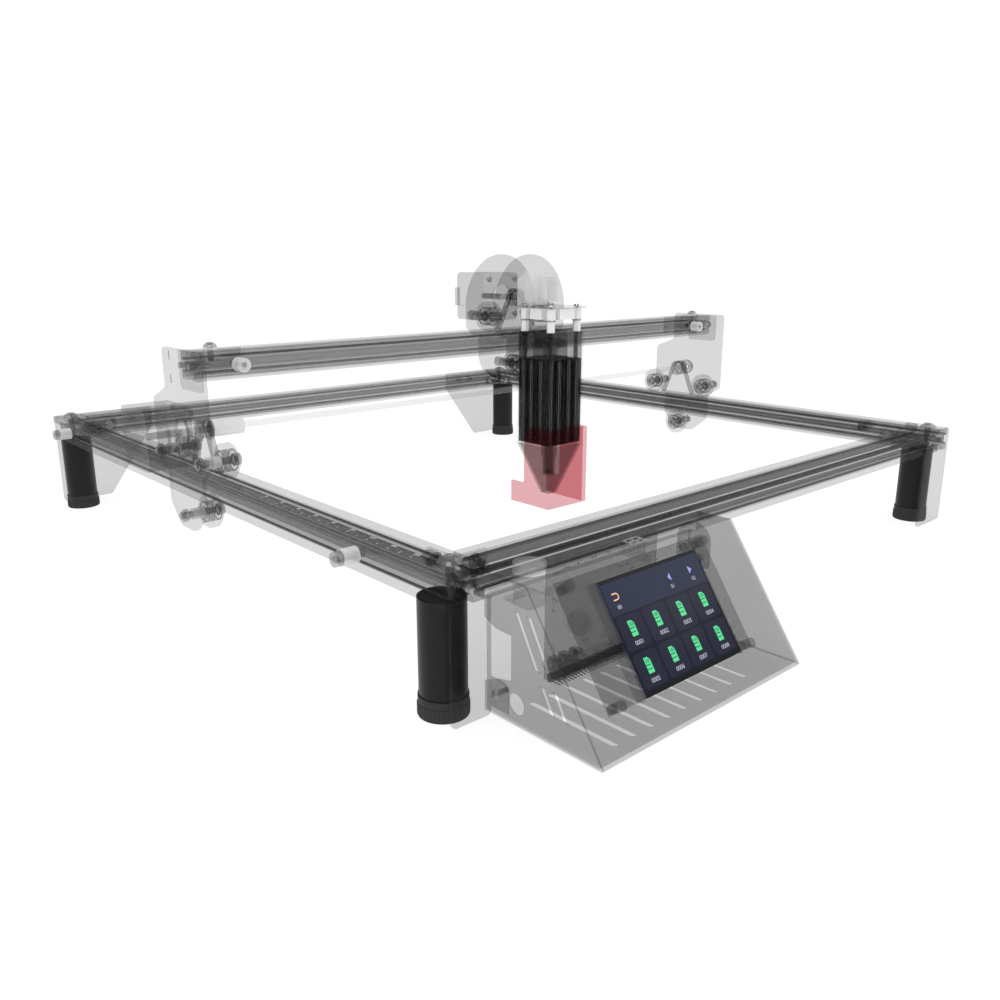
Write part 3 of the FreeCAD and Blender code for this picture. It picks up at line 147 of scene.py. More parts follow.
# Smoke-tinted extruded profile: the die leaves long faint lines along each beam, drawn 1.5 mm apart
# so that they show.
smoked_beam_y = patterned("smoked_extrusion_along_y", "#1d1d1e", "#070707", 1.5, (0.12, 0.22),
                          stretch=(1, 200, 1), specular_ior_level=0.3)
smoked_beam_x = patterned("smoked_extrusion_along_x", "#1d1d1e", "#070707", 1.5, (0.12, 0.22),
                          stretch=(200, 1, 1), specular_ior_level=0.3)
smoked_beam_front = patterned("smoked_extrusion_dense", "#1d1d1e", "#070707", 1.5, (0.12, 0.22),
                              stretch=(200, 1, 1), specular_ior_level=0.3)
deeper_inside(smoked_beam_y, ("X", "Z"), 0.21, 0.42)
deeper_inside(smoked_beam_x, ("Y", "Z"), 0.21, 0.32)
deeper_inside(smoked_beam_front, ("Y", "Z"), 0.21, 0.47)
# Clear moulded polycarbonate with a faint grey cast, for the wheels. The motor cans are smokier. The plug
# bracket, button, head sleeve and boards are clearer, each with the share of light it holds back.
clear_moulding = patterned("clear_polycarbonate", "#3a3a3b", "#242425", 8, (0.05, 0.12),
                           alpha=0.19, specular_ior_level=0.7)
smoked_can = patterned("smoked_motor_can", "#1a1a1b", "#101011", 10, (0.12, 0.2),
                       alpha=0.24, specular_ior_level=0.3)
clear_block = patterned("clear_moulded_plug", "#e6e6e6", "#d2d2d2", 4, (0.05, 0.12),
                        alpha=0.3, specular_ior_level=0.8)
clear_button = patterned("clear_moulded_button", "#c8c8c8", "#b4b4b4", 4, (0.1, 0.2),
                         alpha=0.13, specular_ior_level=0.4)
clear_sleeve = patterned("clear_acrylic_sleeve", "#2c2c2d", "#1c1c1d", 20, (0.05, 0.1),
                         alpha=0.07, specular_ior_level=0.1)
clear_board = patterned("clear_carrier_sheet", "#2c2c2d", "#1a1a1b", 4, (0.05, 0.1),
                        alpha=0.16, specular_ior_level=0.8)
# Darker smoked polymer: belts, clamps and pulleys, the fan, circuit laminate and connectors.
smoked_rubber = patterned("smoked_polyurethane_belt", "#1a1a1b", "#101011", 3, (0.4, 0.55), alpha=0.3)
smoked_dark = patterned("smoked_dark_moulding", "#141415", "#0a0a0b", 6, (0.25, 0.4), alpha=0.26)
smoked_fan = patterned("smoked_fan_moulding", "#121213", "#09090a", 6, (0.25, 0.4), alpha=0.34)
smoked_board = patterned("smoked_circuit_laminate", "#1c1c1d", "#101011", 4, (0.3, 0.45), alpha=0.25)
smoked_block = patterned("smoked_connector_moulding", "#1f1f20", "#0e0e0f", 2, (0.3, 0.45), alpha=0.14)
# Steel: nickel-plated screws, chromed heads, the races on the wheels' faces and the ground shaft.
plated_screw = patterned("nickel_plated_screw", "#c2c2c4", "#5c5c5e", 1.5, (0.1, 0.22),
                         metallic=0.8, alpha=0.42)
chrome = patterned("chromed_screw_head", "#e8e8ea", "#9a9a9c", 1.2, (0.08, 0.18), metallic=1.0)
dark_steel = patterned("blackened_steel_race", "#2c2c2d", "#151516", 1.5, (0.2, 0.35),
                       metallic=0.5, alpha=0.5)
thin_steel = patterned("bright_steel_race", "#6a6a6b", "#3c3c3d", 1.5, (0.15, 0.3), metallic=0.6, alpha=0.34)
ground_shaft = patterned("ground_steel_shaft", "#c8c8c8", "#b0b0b0", 2, (0.15, 0.25), alpha=0.17)
# Natural white nylon standoffs, frosted clear spacers and stop sleeves, and the bright shaft coupling.
white_nylon = patterned("natural_nylon", "#f4f4f3", "#e2e2e1", 5, (0.35, 0.5), alpha=0.85)
white_clear = patterned("frosted_clear_nylon", "#fbfbfb", "#eeeeee", 5, (0.2, 0.3), alpha=0.4)
white_collar = patterned("bright_turned_collar", "#ffffff", "#f2f2f2", 5, (0.15, 0.25), alpha=0.75)
# Black anodised aluminium, satin: the feet's posts, the head's finned core and the rods beside it.
black_anodised = patterned("black_anodised_aluminium", "#19191a", "#111112", 3, (0.3, 0.4),
                           specular_ior_level=0.2)
black_fins = patterned("black_anodised_fins", "#0e0e0f", "#070708", 2, (0.35, 0.5),
                       alpha=0.72, specular_ior_level=0.2)
# Pale paint for the fins' edges: a painted highlight, where the light catches them.
fin_edge_highlight = patterned("painted_fin_edge_highlight", "#8c8c8e", "#626264", 3, (0.4, 0.5), metallic=0.2, alpha=0.55)
black_rod = patterned("black_anodised_rod", "#161617", "#0c0c0d", 2, (0.3, 0.4), alpha=0.6)
black_rubber = patterned("moulded_black_rubber", "#232324", "#151516", 1.2, (0.55, 0.7), bump_mm=0.05)
# Red cast acrylic, the laser guard.
red_acrylic = tinted("red_cast_acrylic", "#f2d6d9", "#f0d1d4", 30, "#6e1a20", 0.02)
# The dark barrel, the smoked nozzle round it and the black rim of the screen.
lens_metal = patterned("dark_anodised_barrel", "#1c1617", "#100c0d", 3, (0.3, 0.45), alpha=0.35)
nozzle_smoke = patterned("smoked_nozzle", "#141415", "#0c0c0d", 6, (0.4, 0.5), alpha=0.27,
                         specular_ior_level=0.03)
screen_black = patterned("gloss_black_abs", "#141416", "#0d0d0f", 5, (0.2, 0.3), alpha=0.2)


def lit_screen(name, hex_colour):
    """Backlit display behind glass: it gives its own light, under a smooth reflecting face."""
    material = blank(name)
    colour = linear(hex_colour)
    places = add_node(material, "ShaderNodeTexCoord", {})
    smears = add_node(material, "ShaderNodeTexNoise", {"Scale": 60.0}, [("Vector", places, "Object")])
    rough = add_node(material, "ShaderNodeMapRange", {"To Min": 0.08, "To Max": 0.16}, [("Value", smears, 0)])
    body = add_node(material, "ShaderNodeBsdfPrincipled",
                    {"Base Color": linear("#08080a"), "Emission Color": colour, "Emission Strength": 1.0,
                     "Specular IOR Level": 0.2},
                    [("Roughness", rough, "Result")])
    # The picture is seen, but it isn't picked as a lamp: that would speckle the boards behind it.
    material.cycles.emission_sampling = "NONE"
    return finish_with(material, body)


# The colours of the picture on the screen.
display_navy = lit_screen("display_navy", "#2b3045")
display_tile = lit_screen("display_tile", "#262839")
display_tile_rim = lit_screen("display_tile_shade", "#1a1b28")
display_green = lit_screen("display_green", "#5de39a")
display_lavender = lit_screen("display_lavender", "#a9a4f0")
display_peach = lit_screen("display_peach", "#f5c5a0")
display_white = lit_screen("display_white", "#c9cbd6")
display_black = lit_screen("display_black", "#17171b")
# Ink of the numerals on the side plate and of the scale on the beam.
printed_grey = patterned("screen_printed_grey_ink", "#5a5a5b", "#4a4a4b", 2, (0.5, 0.6), alpha=0.8)
printed_pale = patterned("screen_printed_pale_ink", "#f8f8f8", "#ececec", 2, (0.5, 0.6), alpha=0.55)

finishes = {
    smoked_beam_y: "left_beam right_beam",
    smoked_beam_x: "rear_beam gantry_beam",
    smoked_beam_front: "front_beam",
    smoked_sheet: "left_gantry_plate right_gantry_plate carriage_front_plate carriage_rear_plate"
                  " gantry_brackets laser_slider",
    smoked_skirt: "corner_plates",
    smoked_panel: "box_floor box_front box_side_walls",
    smoked_can: "x_motor y_motor",
    clear_block: "cable_bracket",
    clear_button: "power_button",
    clear_moulding: "x_wheel_left x_wheel_right x_wheel_lower y_wheel_left_back y_wheel_left_front"
                    " y_wheel_left_lower y_wheel_right_back y_wheel_right_front y_wheel_right_lower",
    clear_sleeve: "laser_sleeve",
    clear_board: "top_board",
    smoked_rubber: "y_belt_arches x_belt_arch y_belts x_belt",
    smoked_dark: "belt_clamps y_pulleys x_pulley",
    smoked_fan: "fan_frame fan_rotor",
    smoked_board: "circuit_boards",
    smoked_block: "board_parts corner_brackets",
    plated_screw: "frame_bolts gantry_bolts carriage_bolts shaft_bearing",
    ground_shaft: "drive_shaft",
    white_nylon: "top_board_fittings",
    white_clear: "gantry_spacers y_stop_sleeves",
    white_collar: "shaft_coupling",
    black_anodised: "foot_posts",
    black_fins: "heat_sink",
    black_rubber: "foot_pads",
    red_acrylic: "laser_shield",
    lens_metal: "lens_barrel",
    nozzle_smoke: "nozzle",
    screen_black: "screen_bezel",
    display_navy: "screen_glass",
}
for finish, names in finishes.items():
    for name in names.split():
        nodes[name].data.materials.clear()
        nodes[name].data.materials.append(finish)


# ---- pieces ----
def piece(name, mesh, material, body):
    """A named object that rides on a body, with the finish it is given."""
    thing = bpy.data.objects.new(name, mesh)
    bpy.context.scene.collection.objects.link(thing)
    if material:
        thing.data.materials.append(material)
    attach(thing, body)
    return thing


def made(name, form, material, body, smooth=False):
    """Turn a finished bmesh into a piece."""
    bmesh.ops.recalc_face_normals(form, faces=form.faces)
    mesh = bpy.data.meshes.new(name)
    form.to_mesh(mesh)
    form.free()
    if smooth:
        mesh.shade_smooth()
        mesh.set_sharp_from_angle(angle=math.radians(35))
    return piece(name, mesh, material, body)


def add_block(form, low, high):
    """Box between two corners."""
    size = high - low
    bmesh.ops.create_cube(form, size=1.0,
                          matrix=Matrix.Translation((low + high) / 2) @ Matrix.Diagonal((*size, 1.0)))


def add_rod(form, start, end, radius, segments=32, end_radius=None):
    """Round rod or cone from start to end."""
    span = end - start
    turn = span.to_track_quat("Z", "Y").to_matrix().to_4x4()
    bmesh.ops.create_cone(form, cap_ends=True, segments=segments, radius1=radius,
                          radius2=radius if end_radius is None else end_radius, depth=span.length,
                          matrix=Matrix.Translation((start + end) / 2) @ turn)


def add_ring(form, centre, axis, inner, outer, thick, segments=48):
    """Flat ring of square section about an axis."""
    turn = Vector(axis).to_track_quat("Z", "Y")
    loops = []
    for radius, lift in ((inner, -thick / 2), (outer, -thick / 2), (outer, thick / 2), (inner, thick / 2)):
        loop = []
        for k in range(segments):
            angle = 2 * math.pi * k / segments
            loop.append(form.verts.new(centre + turn @ Vector((radius * math.cos(angle),
                                                               radius * math.sin(angle), lift))))
        loops.append(loop)
    for one, two in zip(loops, loops[1:] + loops[:1]):
        for k in range(segments):
            form.faces.new((one[k], one[(k + 1) % segments], two[(k + 1) % segments], two[k]))


def middle_of(*names):
    """Middle of the box round several CAD nodes."""
    corners = [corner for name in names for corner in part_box(name)]
    lows = [min(c[k] for c in corners) for k in range(3)]
    highs = [max(c[k] for c in corners) for k in range(3)]
    return (Vector(lows) + Vector(highs)) / 2


# ---- the touch screen's picture ----
def face_towards(node, direction):
    """The flat outer face of a node that looks along direction: its corners' top left, across and down."""
    mesh = node.data
    aim = Vector(direction).normalized()
    reach = max(v.co.dot(aim) for v in mesh.vertices)
    corners = [v.co for v in mesh.vertices if v.co.dot(aim) > reach - 0.05 * MM]
    left = min(c.x for c in corners)
    right = max(c.x for c in corners)
    high = max(corners, key=lambda c: c.z)
    low = min(corners, key=lambda c: c.z)
    top_left = Vector((left, high.y, high.z))
    across = Vector((right - left, 0, 0))
    down = Vector((0, low.y - high.y, low.z - high.z))
    return top_left, across, down


def slope_of(node):
    """Outward normal of the largest face of a node that looks to the front."""
    fronts = [p for p in node.data.polygons if p.normal.y < -0.3 and p.normal.z > 0.1]
    return max(fronts, key=lambda p: p.area).normal.copy()


screen_out = slope_of(nodes["screen_glass"])
screen_corner, screen_across, screen_down = face_towards(nodes["screen_glass"], screen_out)
screen_w = screen_across.length
screen_h = screen_down.length
screen_u = screen_across.normalized()
screen_v = screen_down.normalized()


def on_screen(u, v, lift):
    """Point u across and v down the screen in metres, lifted off it along its normal."""
    return screen_corner + screen_u * u + screen_v * v + screen_out * lift


def flat_shapes(name, outlines, lift, material):
    """Thin flat shapes on the screen, each an outline of (u, v) points, as one piece."""
    form = bmesh.new()
    for outline in outlines:
        lower = [form.verts.new(on_screen(u, v, lift)) for u, v in outline]
        form.faces.new(lower)
    bmesh.ops.recalc_face_normals(form, faces=form.faces)
    mesh = bpy.data.meshes.new(name)
    form.to_mesh(mesh)
    form.free()
    return piece(name, mesh, material, "frame")


def rounded(u0, v0, u1, v1, radius, steps=5):
    """Outline of a rounded rectangle."""
    points = []
    for cu, cv, start in ((u1 - radius, v0 + radius, -90), (u1 - radius, v1 - radius, 0),
                          (u0 + radius, v1 - radius, 90), (u0 + radius, v0 + radius, 180)):
        for k in range(steps + 1):
            angle = math.radians(start + 90 * k / steps)
            points.append((cu + radius * math.cos(angle), cv + radius * math.sin(angle)))
    return points


def stroke(points, width):
    """Outline of a thin straight bar between two (u, v) points."""
    (u0, v0), (u1, v1) = points
    length = math.hypot(u1 - u0, v1 - v0)
    a = (v1 - v0) / length * width / 2
    b = -(u1 - u0) / length * width / 2
    return [(u0 + a, v0 + b), (u1 + a, v1 + b), (u1 - a, v1 - b), (u0 - a, v0 - b)]


def lettered(text, size, bold):
    """Flat mesh of a short number in the built-in font, centred, size metres high."""
    curve = bpy.data.curves.new("number", "FONT")
    curve.body = text
    curve.size = size / 0.72
    curve.align_x = "CENTER"
    curve.resolution_u = 3
    curve.offset = bold * size
    holder = bpy.data.objects.new("number", curve)
    bpy.context.scene.collection.objects.link(holder)
    graph = bpy.context.evaluated_depsgraph_get()
    mesh = bpy.data.meshes.new_from_object(holder.evaluated_get(graph))
    bpy.data.objects.remove(holder)
    bpy.data.curves.remove(curve)
    return mesh


def add_text(form, text, size, place, bold=0.0):
    """Add a number to a bmesh. place turns its flat (x, y) into a point."""
    flat = lettered(text, size, bold)
    before = len(form.verts)
    form.from_mesh(flat)
    form.verts.ensure_lookup_table()
    for k in range(before, len(form.verts)):
        form.verts[k].co = place(form.verts[k].co.x, form.verts[k].co.y)
    bpy.data.meshes.remove(flat)


rim_v = 2.2 * MM
shown_h = screen_h - 2 * rim_v
header_depth = rim_v + 0.3 * shown_h
tile_margin = 0.8 * MM
tile_w = (screen_w - 2 * tile_margin) / 4
tile_h = (rim_v + shown_h - header_depth - 0.5 * MM) / 2
tile_inset = 0.9 * MM
tile_corner = 2.6 * MM
tiles = []
tile_places = []
for row in range(2):
    for column in range(4):
        u0 = tile_margin + column * tile_w
        v0 = header_depth + row * tile_h
        tile_places.append((u0 + tile_w / 2, v0))
        tiles.append(rounded(u0 + tile_inset, v0 + tile_inset, u0 + tile_w - tile_inset,
                             v0 + tile_h - tile_inset, tile_corner))
side = 0.7 * MM
flat_shapes("screen_mask", [[(0, 0), (screen_w, 0), (screen_w, rim_v), (0, rim_v)],
                            [(0, rim_v), (side, rim_v), (side, screen_h - rim_v), (0, screen_h - rim_v)],
                            [(screen_w - side, rim_v), (screen_w, rim_v), (screen_w, screen_h - rim_v),
                             (screen_w - side, screen_h - rim_v)],
                            [(0, screen_h - rim_v), (screen_w, screen_h - rim_v), (screen_w, screen_h),
                             (0, screen_h)]],
            0.12 * MM, display_black)
flat_shapes("screen_tile_gaps", [[(0, header_depth), (screen_w, header_depth), (screen_w, screen_h - rim_v),
                                  (0, screen_h - rim_v)]], 0.05 * MM, display_tile_rim)
flat_shapes("screen_tiles", tiles, 0.10 * MM, display_tile)

sheets = []
lines = []
for u, v0 in tile_places:
    w = 2.3 * MM
    top = v0 + 4.2 * MM
    bottom = top + 8.6 * MM
    fold = 1.6 * MM
    sheets.append([(u - w, top), (u + w - fold, top), (u + w, top + fold), (u + w, bottom), (u - w, bottom)])
    for k in range(2):
        v = top + (3.9 + 2.2 * k) * MM
        lines.append([(u - w, v), (u + w - 0.9 * MM, v), (u + w - 0.9 * MM, v + 0.45 * MM),
                      (u - w, v + 0.45 * MM)])
    for k in range(3):
        a = u + (-1.3 + 1.15 * k) * MM
        lines.append([(a, top + 1.1 * MM), (a + 0.4 * MM, top + 1.1 * MM), (a + 0.4 * MM, top + 3.1 * MM),
                      (a, top + 3.1 * MM)])
flat_shapes("screen_file_icons", sheets, 0.15 * MM, display_green)
flat_shapes("screen_file_lines", lines, 0.2 * MM, display_tile)

arrow_v = rim_v + 0.135 * shown_h
arrow_half = 2.3 * MM
arrow_left = [(0.625 * screen_w, arrow_v), (0.655 * screen_w, arrow_v - arrow_half),
              (0.655 * screen_w, arrow_v + arrow_half)]
arrow_right = [(0.885 * screen_w, arrow_v), (0.85 * screen_w, arrow_v - arrow_half),
               (0.85 * screen_w, arrow_v + arrow_half)]
flat_shapes("screen_arrows", [arrow_left, arrow_right], 0.15 * MM, display_lavender)

# The way-back icon is a bar that hooks round to the left.
back_u = 0.10 * screen_w
hook = [stroke(((back_u - 2.2 * MM, arrow_v - 1.7 * MM), (back_u + 0.6 * MM, arrow_v - 1.7 * MM)), 0.8 * MM),
        stroke(((back_u - 2.2 * MM, arrow_v + 1.7 * MM), (back_u + 0.6 * MM, arrow_v + 1.7 * MM)), 0.8 * MM)]
bend_out = []
bend_in = []
for k in range(9):
    angle = math.radians(-90 + 180 * k / 8)
    bend_out.append((back_u + 0.6 * MM + 2.1 * MM * math.cos(angle), arrow_v + 2.1 * MM * math.sin(angle)))
    bend_in.append((back_u + 0.6 * MM + 1.3 * MM * math.cos(angle), arrow_v + 1.3 * MM * math.sin(angle)))
hook.append(bend_out + bend_in[::-1])
flat_shapes("screen_back_icon", hook, 0.15 * MM, display_peach)

labels = bmesh.new()


def label(text, u, v, size):
    add_text(labels, text, size, lambda x, y: on_screen(u + x, v - y, 0.15 * MM), 0.0)


for k, (u, v0) in enumerate(tile_places):
    label("%04d" % (k + 1), u + 0.6 * MM, v0 + 17.6 * MM, 2.5 * MM)
label("00", back_u, arrow_v + 6.9 * MM, 2.3 * MM)
label("01", 0.64 * screen_w, arrow_v + 6.4 * MM, 2.3 * MM)
label("02", 0.868 * screen_w, arrow_v + 6.4 * MM, 2.3 * MM)
made("screen_labels", labels, display_white, "frame")


# ---- screws and stand-offs of the screen's carrier ----
posts = bmesh.new()
caps = bmesh.new()
for u in (screen_w / 2 - 57.5 * MM, screen_w / 2 + 57.5 * MM):
    for v in (-3.2 * MM, 62.0 * MM):
        add_rod(posts, on_screen(u, v, -7.6 * MM), on_screen(u, v, -2.2 * MM), 2.9 * MM)
        add_rod(caps, on_screen(u, v, -11.4 * MM), on_screen(u, v, -9.2 * MM), 2.6 * MM)
made("screen_posts", posts, smoked_dark, "frame", smooth=True)
made("screen_screws", caps, thin_steel, "frame", smooth=True)

# ---- wheels and head ----
def wheel_face(name, body, axis):
    """The bearing's inner and outer races on both faces of a wheel."""
    low, high = [Vector(c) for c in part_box(name)]
    centre = (low + high) / 2
    half = (high - low)[0 if axis[0] else 1] / 2
    form = bmesh.new()
    aim = Vector(axis)
    for sense in (-1, 1):
        face = centre + aim * sense * (half - 0.15 * MM)
        add_ring(form, face, aim, 6.9 * MM, 7.9 * MM, 0.4 * MM)
        add_ring(form, face, aim, 2.8 * MM, 4.4 * MM, 0.4 * MM)
    made(name + "_races", form, thin_steel, body)


for side in ("left", "right"):
    for place in ("front", "back", "lower"):
        wheel_face("y_wheel_%s_%s" % (side, place), "y_wheel_%s_%s" % (side, place), (1, 0, 0))
for place in ("left", "right", "lower"):
    wheel_face("x_wheel_" + place, "x_wheel_" + place, (0, 1, 0))

sleeve_low, sleeve_high = [Vector(c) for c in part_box("laser_sleeve")]
board_low, board_high = [Vector(c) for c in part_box("top_board")]
corner_in = 5.5 * MM
corners = [(x, y) for y in (sleeve_low.y + corner_in, sleeve_high.y - corner_in)
           for x in (sleeve_low.x + corner_in, sleeve_high.x - corner_in)]
rods = bmesh.new()
washers = bmesh.new()
heads = bmesh.new()
for x, y in corners:
    add_rod(rods, Vector((x, y, sleeve_low.z + 4 * MM)), Vector((x, y, sleeve_high.z)), 1.9 * MM)
    middle_z = (sleeve_high.z + board_low.z) / 2
    add_rod(washers, Vector((x, y, middle_z - 0.5 * MM)), Vector((x, y, middle_z + 0.5 * MM)), 4.1 * MM)
    add_rod(washers, Vector((x, y, board_high.z)), Vector((x, y, board_high.z + 0.4 * MM)), 3.4 * MM)
    add_rod(heads, Vector((x, y, board_high.z + 0.4 * MM)), Vector((x, y, board_high.z + 1.7 * MM)), 2.6 * MM,
            end_radius=1.9 * MM)
# Pale lines on some fins' edges are a painted highlight, where the light catches the thin edges.
sink_low, sink_high = [Vector(c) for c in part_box("heat_sink")]
highlight_strips = bmesh.new()
edge_thick = 0.12 * MM
count = 18
for k in range(count + 1):
    if k * 7 % 5 not in (0, 2):
        continue
    x = sink_low.x + (sink_high.x - sink_low.x) * k / count
    y = sink_low.y + (sink_high.y - sink_low.y) * k / count
    wide = (0.4 if k % 2 else 0.22) * MM
    low_z = sink_low.z + 1 * MM
    high_z = sink_high.z - 1 * MM
    add_block(highlight_strips, Vector((x - wide, sink_low.y - edge_thick, low_z)),
              Vector((x + wide, sink_low.y, high_z)))
    if 2 < k:
        for face in (sink_low.x - edge_thick, sink_high.x):
            add_block(highlight_strips, Vector((face, y - wide, low_z)), Vector((face + edge_thick, y + wide, high_z)))
made("fin_edge_highlights", highlight_strips, fin_edge_highlight, "laser")
made("head_rods", rods, black_rod, "laser", smooth=True)
made("standoff_washers", washers, dark_steel, "laser", smooth=True)
made("board_screw_heads", heads, chrome, "laser", smooth=True)

# ---- feet: knurled rings round the pads ----
pads_low, pads_high = [Vector(c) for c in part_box("foot_pads")]
knurl = bmesh.new()
pad_reach = 13.9 * MM
for x in (pads_low.x + pad_reach, pads_high.x - pad_reach):
    for y in (pads_low.y + pad_reach, pads_high.y - pad_reach):
        lower = []
        upper = []
        count = 64
        for k in range(count):
            angle = 2 * math.pi * k / count
            radius = (14.35 if k % 2 else 13.75) * MM
            around = (x + radius * math.cos(angle), y + radius * math.sin(angle))
            lower.append(knurl.verts.new((*around, 0.5 * MM)))
            upper.append(knurl.verts.new((*around, 7.5 * MM)))
        for k in range(count):
            knurl.faces.new((lower[k], lower[(k + 1) % count], upper[(k + 1) % count], upper[k]))
        knurl.faces.new(lower)
        knurl.faces.new(upper)
made("pad_knurling", knurl, black_rubber, "frame")


# ---- control box: pins, terminals, metal shell and a bracket under the front beam ----
main_low = Vector(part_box("box_floor")[0])
main_high = Vector(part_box("box_floor")[1])
panel_y = main_high.y
board_y = panel_y - 8.1 * MM
left_x = main_low.x + 36.5 * MM
pins = bmesh.new()
terminals = bmesh.new()
shell = bmesh.new()
pin_half = 0.3 * MM
pin_length = 9.5 * MM
for k in range(30):
    x = left_x + (2 + 2.54 * k) * MM
    for low_z, high_z in ((0.0085, 0.0091), (0.0110, 0.0116)):
        add_block(pins, Vector((x - pin_half, board_y - pin_length, low_z)),
                  Vector((x + pin_half, board_y, high_z)))
add_block(pins, Vector((left_x + 1 * MM, board_y - 2.5 * MM, 0.0078)),
          Vector((left_x + 77 * MM, board_y, 0.0124)))
for k in range(3):
    x = left_x + (-1 + 8.5 * k) * MM
    for a, b, c, d in ((0, 5.2, 14.5, 16.5), (0, 1.6, 16.5, 24), (3.6, 5.2, 16.5, 22), (0, 5.2, 22, 24)):
        add_block(terminals, Vector((x + a * MM, board_y - 8 * MM, c * MM)),
                  Vector((x + b * MM, board_y - 2 * MM, d * MM)))
shell_x = left_x + 60 * MM
for a, b, c, d in ((0, 13, 0, 0.9), (0, 13, 4.2, 5.1), (0, 13, 8.4, 9.3),
                   (0, 0.9, 0, 9.3), (6, 6.9, 0, 9.3), (12.1, 13, 0, 9.3)):
    add_block(shell, Vector((shell_x + a * MM, board_y - 0.5 * MM - d * MM, 0.0770)),
              Vector((shell_x + b * MM, board_y - 0.5 * MM - c * MM, 0.0776)))
made("board_pins", pins, dark_steel, "frame")
made("board_terminals", terminals, smoked_dark, "frame")
made("socket_shell", shell, white_collar, "frame")
dots = bmesh.new()
for a, z in ((6, 70), (8.5, 70), (14, 71.5), (16.5, 71.5), (24, 72), (36, 72.5), (38.5, 72.5), (49, 73),
             (5, 56), (7.5, 54), (5, 49), (60, 62), (66, 62), (71, 58), (30, 24), (33, 24), (45, 22),
             (48, 22), (58, 30), (58, 34)):
    x = left_x + a * MM
    add_rod(dots, Vector((x, board_y - 0.3 * MM, z * MM)), Vector((x, board_y, z * MM)), 0.65 * MM,
            segments=12)
made("board_vias", dots, black_rod, "frame")

arch = bmesh.new()
profile = [(-1.2, 50), (-1.2, 66)]
for k in range(13):
    angle = math.radians(180 - 180 * k / 12)
    profile.append((-13.2 + 12 * math.cos(angle) * -1, 66 + 11.5 * math.sin(angle)))
profile.append((-25.2, 50))
arch_x = main_high.x - 15 * MM
near = [arch.verts.new((arch_x, panel_y + a * MM - 1 * MM, z * MM)) for a, z in profile]
far = [arch.verts.new((arch_x + 2 * MM, panel_y + a * MM - 1 * MM, z * MM)) for a, z in profile]
arch.faces.new(near)
arch.faces.new(far)
for k in range(len(near)):
    arch.faces.new((near[k], near[k - 1], far[k - 1], far[k]))
made("box_bracket", arch, smoked_dark, "frame")
bracket_screws = bmesh.new()
for a, z in ((-7, 60), (-19, 56)):
    add_rod(bracket_screws, Vector((arch_x - 2.2 * MM, panel_y + (a - 1) * MM, z * MM)),
            Vector((arch_x, panel_y + (a - 1) * MM, z * MM)), 2.8 * MM)
made("box_bracket_screws", bracket_screws, thin_steel, "frame", smooth=True)

# ---- printed scales ----
origin = middle_of("left_beam", "right_beam")
beam_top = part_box("left_beam")[1][2]
ticks = bmesh.new()
scale_x = origin.x - 289.4 * MM
for k in range(0, 17):
    y = origin.y - (110 + 10 * k) * MM
    length = (3.2 if k % 10 == 0 else 2.3 if k % 5 == 0 else 1.5) * MM
    add_block(ticks, Vector((scale_x, y - 0.16 * MM, beam_top)),
              Vector((scale_x + length, y + 0.16 * MM, beam_top + 0.03 * MM)))
for k in range(0, 17, 2):
    y = origin.y - (110 + 10 * k) * MM
    add_text(ticks, str(10 * k), 2.4 * MM,
             lambda a, b, y=y: Vector((scale_x + 6.2 * MM - b, y + a, beam_top + 0.04 * MM)), 0.02)
made("beam_scale", ticks, printed_pale, "frame")

plate_low = Vector(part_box("left_gantry_plate")[0])
marks = bmesh.new()
for z_mm in (167.0, 150.5):
    add_text(marks, "1", 6.0 * MM,
             lambda a, b, z_mm=z_mm: Vector((plate_low.x - 0.05 * MM, origin.y - 2.3 * MM - a,
                                             z_mm * MM + b)), 0.05)
made("plate_numbers", marks, printed_grey, "gantry")


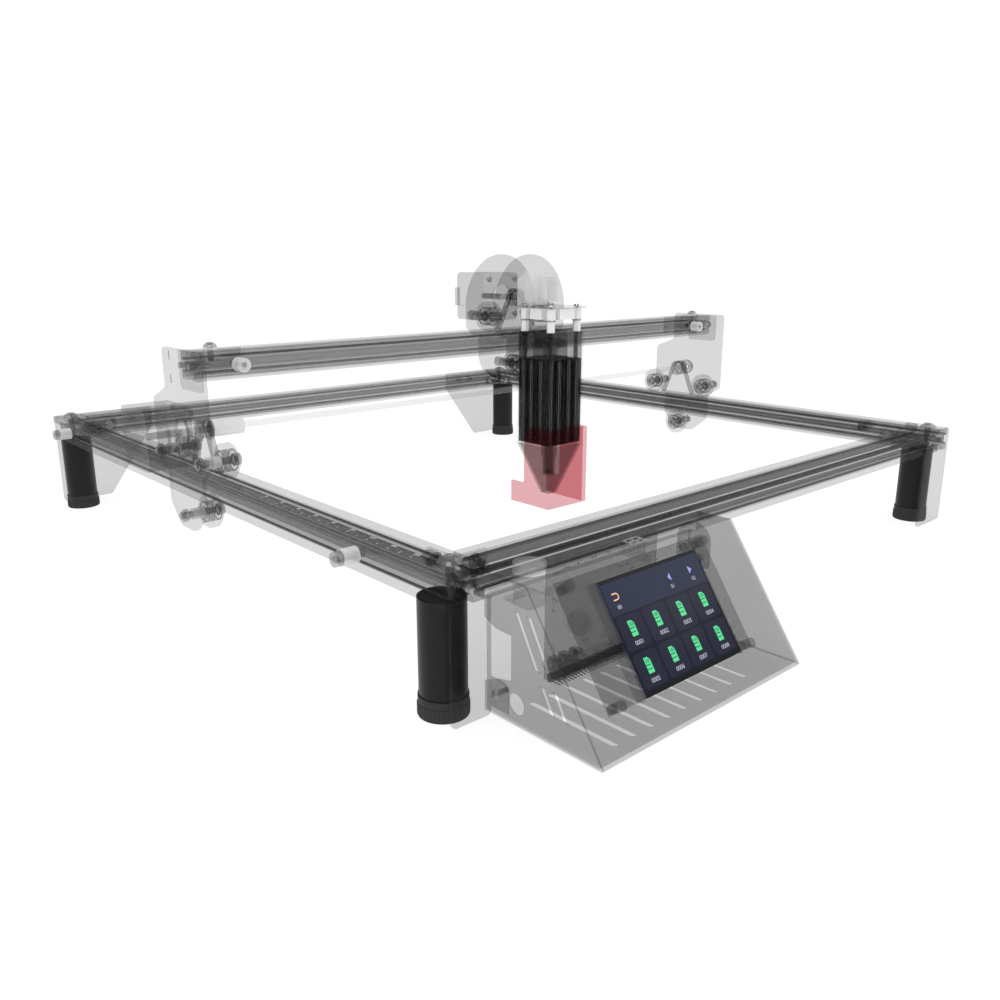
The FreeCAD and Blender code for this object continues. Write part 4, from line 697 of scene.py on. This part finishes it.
# ---- stage ----
def make_stage():
    """Pale floor, an even studio dome and two broad soft lamps."""
    floor_mesh = bpy.data.meshes.new("floor")
    reach = 30.0
    floor_mesh.from_pydata([(-reach, -reach, 0), (reach, -reach, 0), (reach, reach, 0), (-reach, reach, 0)],
                           [], [(0, 1, 2, 3)])
    floor = bpy.data.objects.new("floor", floor_mesh)
    bpy.context.scene.collection.objects.link(floor)
    # The table is a light panel that shows almost no shadow.
    pale = patterned("pale_light_table", "#7e7e7e", "#7a7a7a", 400, (0.8, 0.9), emission_color=(1, 1, 1, 1),
                     emission_strength=0.84, specular_ior_level=0.0)
    floor.data.materials.append(pale)

    world = bpy.data.worlds.new("studio_dome")
    world.use_nodes = True
    dome = world.node_tree.nodes["Background"]
    dome.inputs["Color"].default_value = (1, 1, 1, 1)
    # Reflections see a dimmer dome, so that dark parts stay dark between the lamps' highlights.
    path = world.node_tree.nodes.new("ShaderNodeLightPath")
    level = world.node_tree.nodes.new("ShaderNodeMapRange")
    level.inputs["To Min"].default_value = 1.03
    level.inputs["To Max"].default_value = 0.3
    world.node_tree.links.new(path.outputs["Is Glossy Ray"], level.inputs["Value"])
    world.node_tree.links.new(level.outputs["Result"], dome.inputs["Strength"])
    bpy.context.scene.world = world

    for name, place, size, power in (("key_lamp", (-1.6, -1.2, 2.2), 1.6, 16),
                                     ("fill_lamp", (1.8, -0.8, 1.8), 2.0, 8)):
        lamp = bpy.data.lights.new(name, "AREA")
        lamp.size = size
        lamp.energy = power
        thing = bpy.data.objects.new(name, lamp)
        thing.location = place
        thing.rotation_mode = "QUATERNION"
        thing.rotation_quaternion = Vector(place).to_track_quat("Z", "Y")
        bpy.context.scene.collection.objects.link(thing)


def make_camera():
    """Camera to the front left, a little above the gantry."""
    middle = middle_of("left_beam", "right_beam")
    azimuth = math.radians(-42.149)
    elevation = math.radians(15.099)
    lens = bpy.data.cameras.new("camera")
    lens.lens = 32.587
    lens.sensor_width = 36.0
    camera = bpy.data.objects.new("camera", lens)
    camera.location = (middle.x - 0.5515, middle.y - 0.6290, 0.2367)
    back = Vector((math.sin(azimuth) * math.cos(elevation), -math.cos(azimuth) * math.cos(elevation),
                   math.sin(elevation)))
    camera.rotation_mode = "QUATERNION"
    camera.rotation_quaternion = back.to_track_quat("Z", "Y")
    bpy.context.scene.collection.objects.link(camera)
    bpy.context.scene.camera = camera


make_stage()
make_camera()
scene = bpy.context.scene
scene.view_settings.view_transform = "Standard"
# Many see-through faces lie behind each other, and light has to reach through all of them.
scene.cycles.transparent_max_bounces = 96
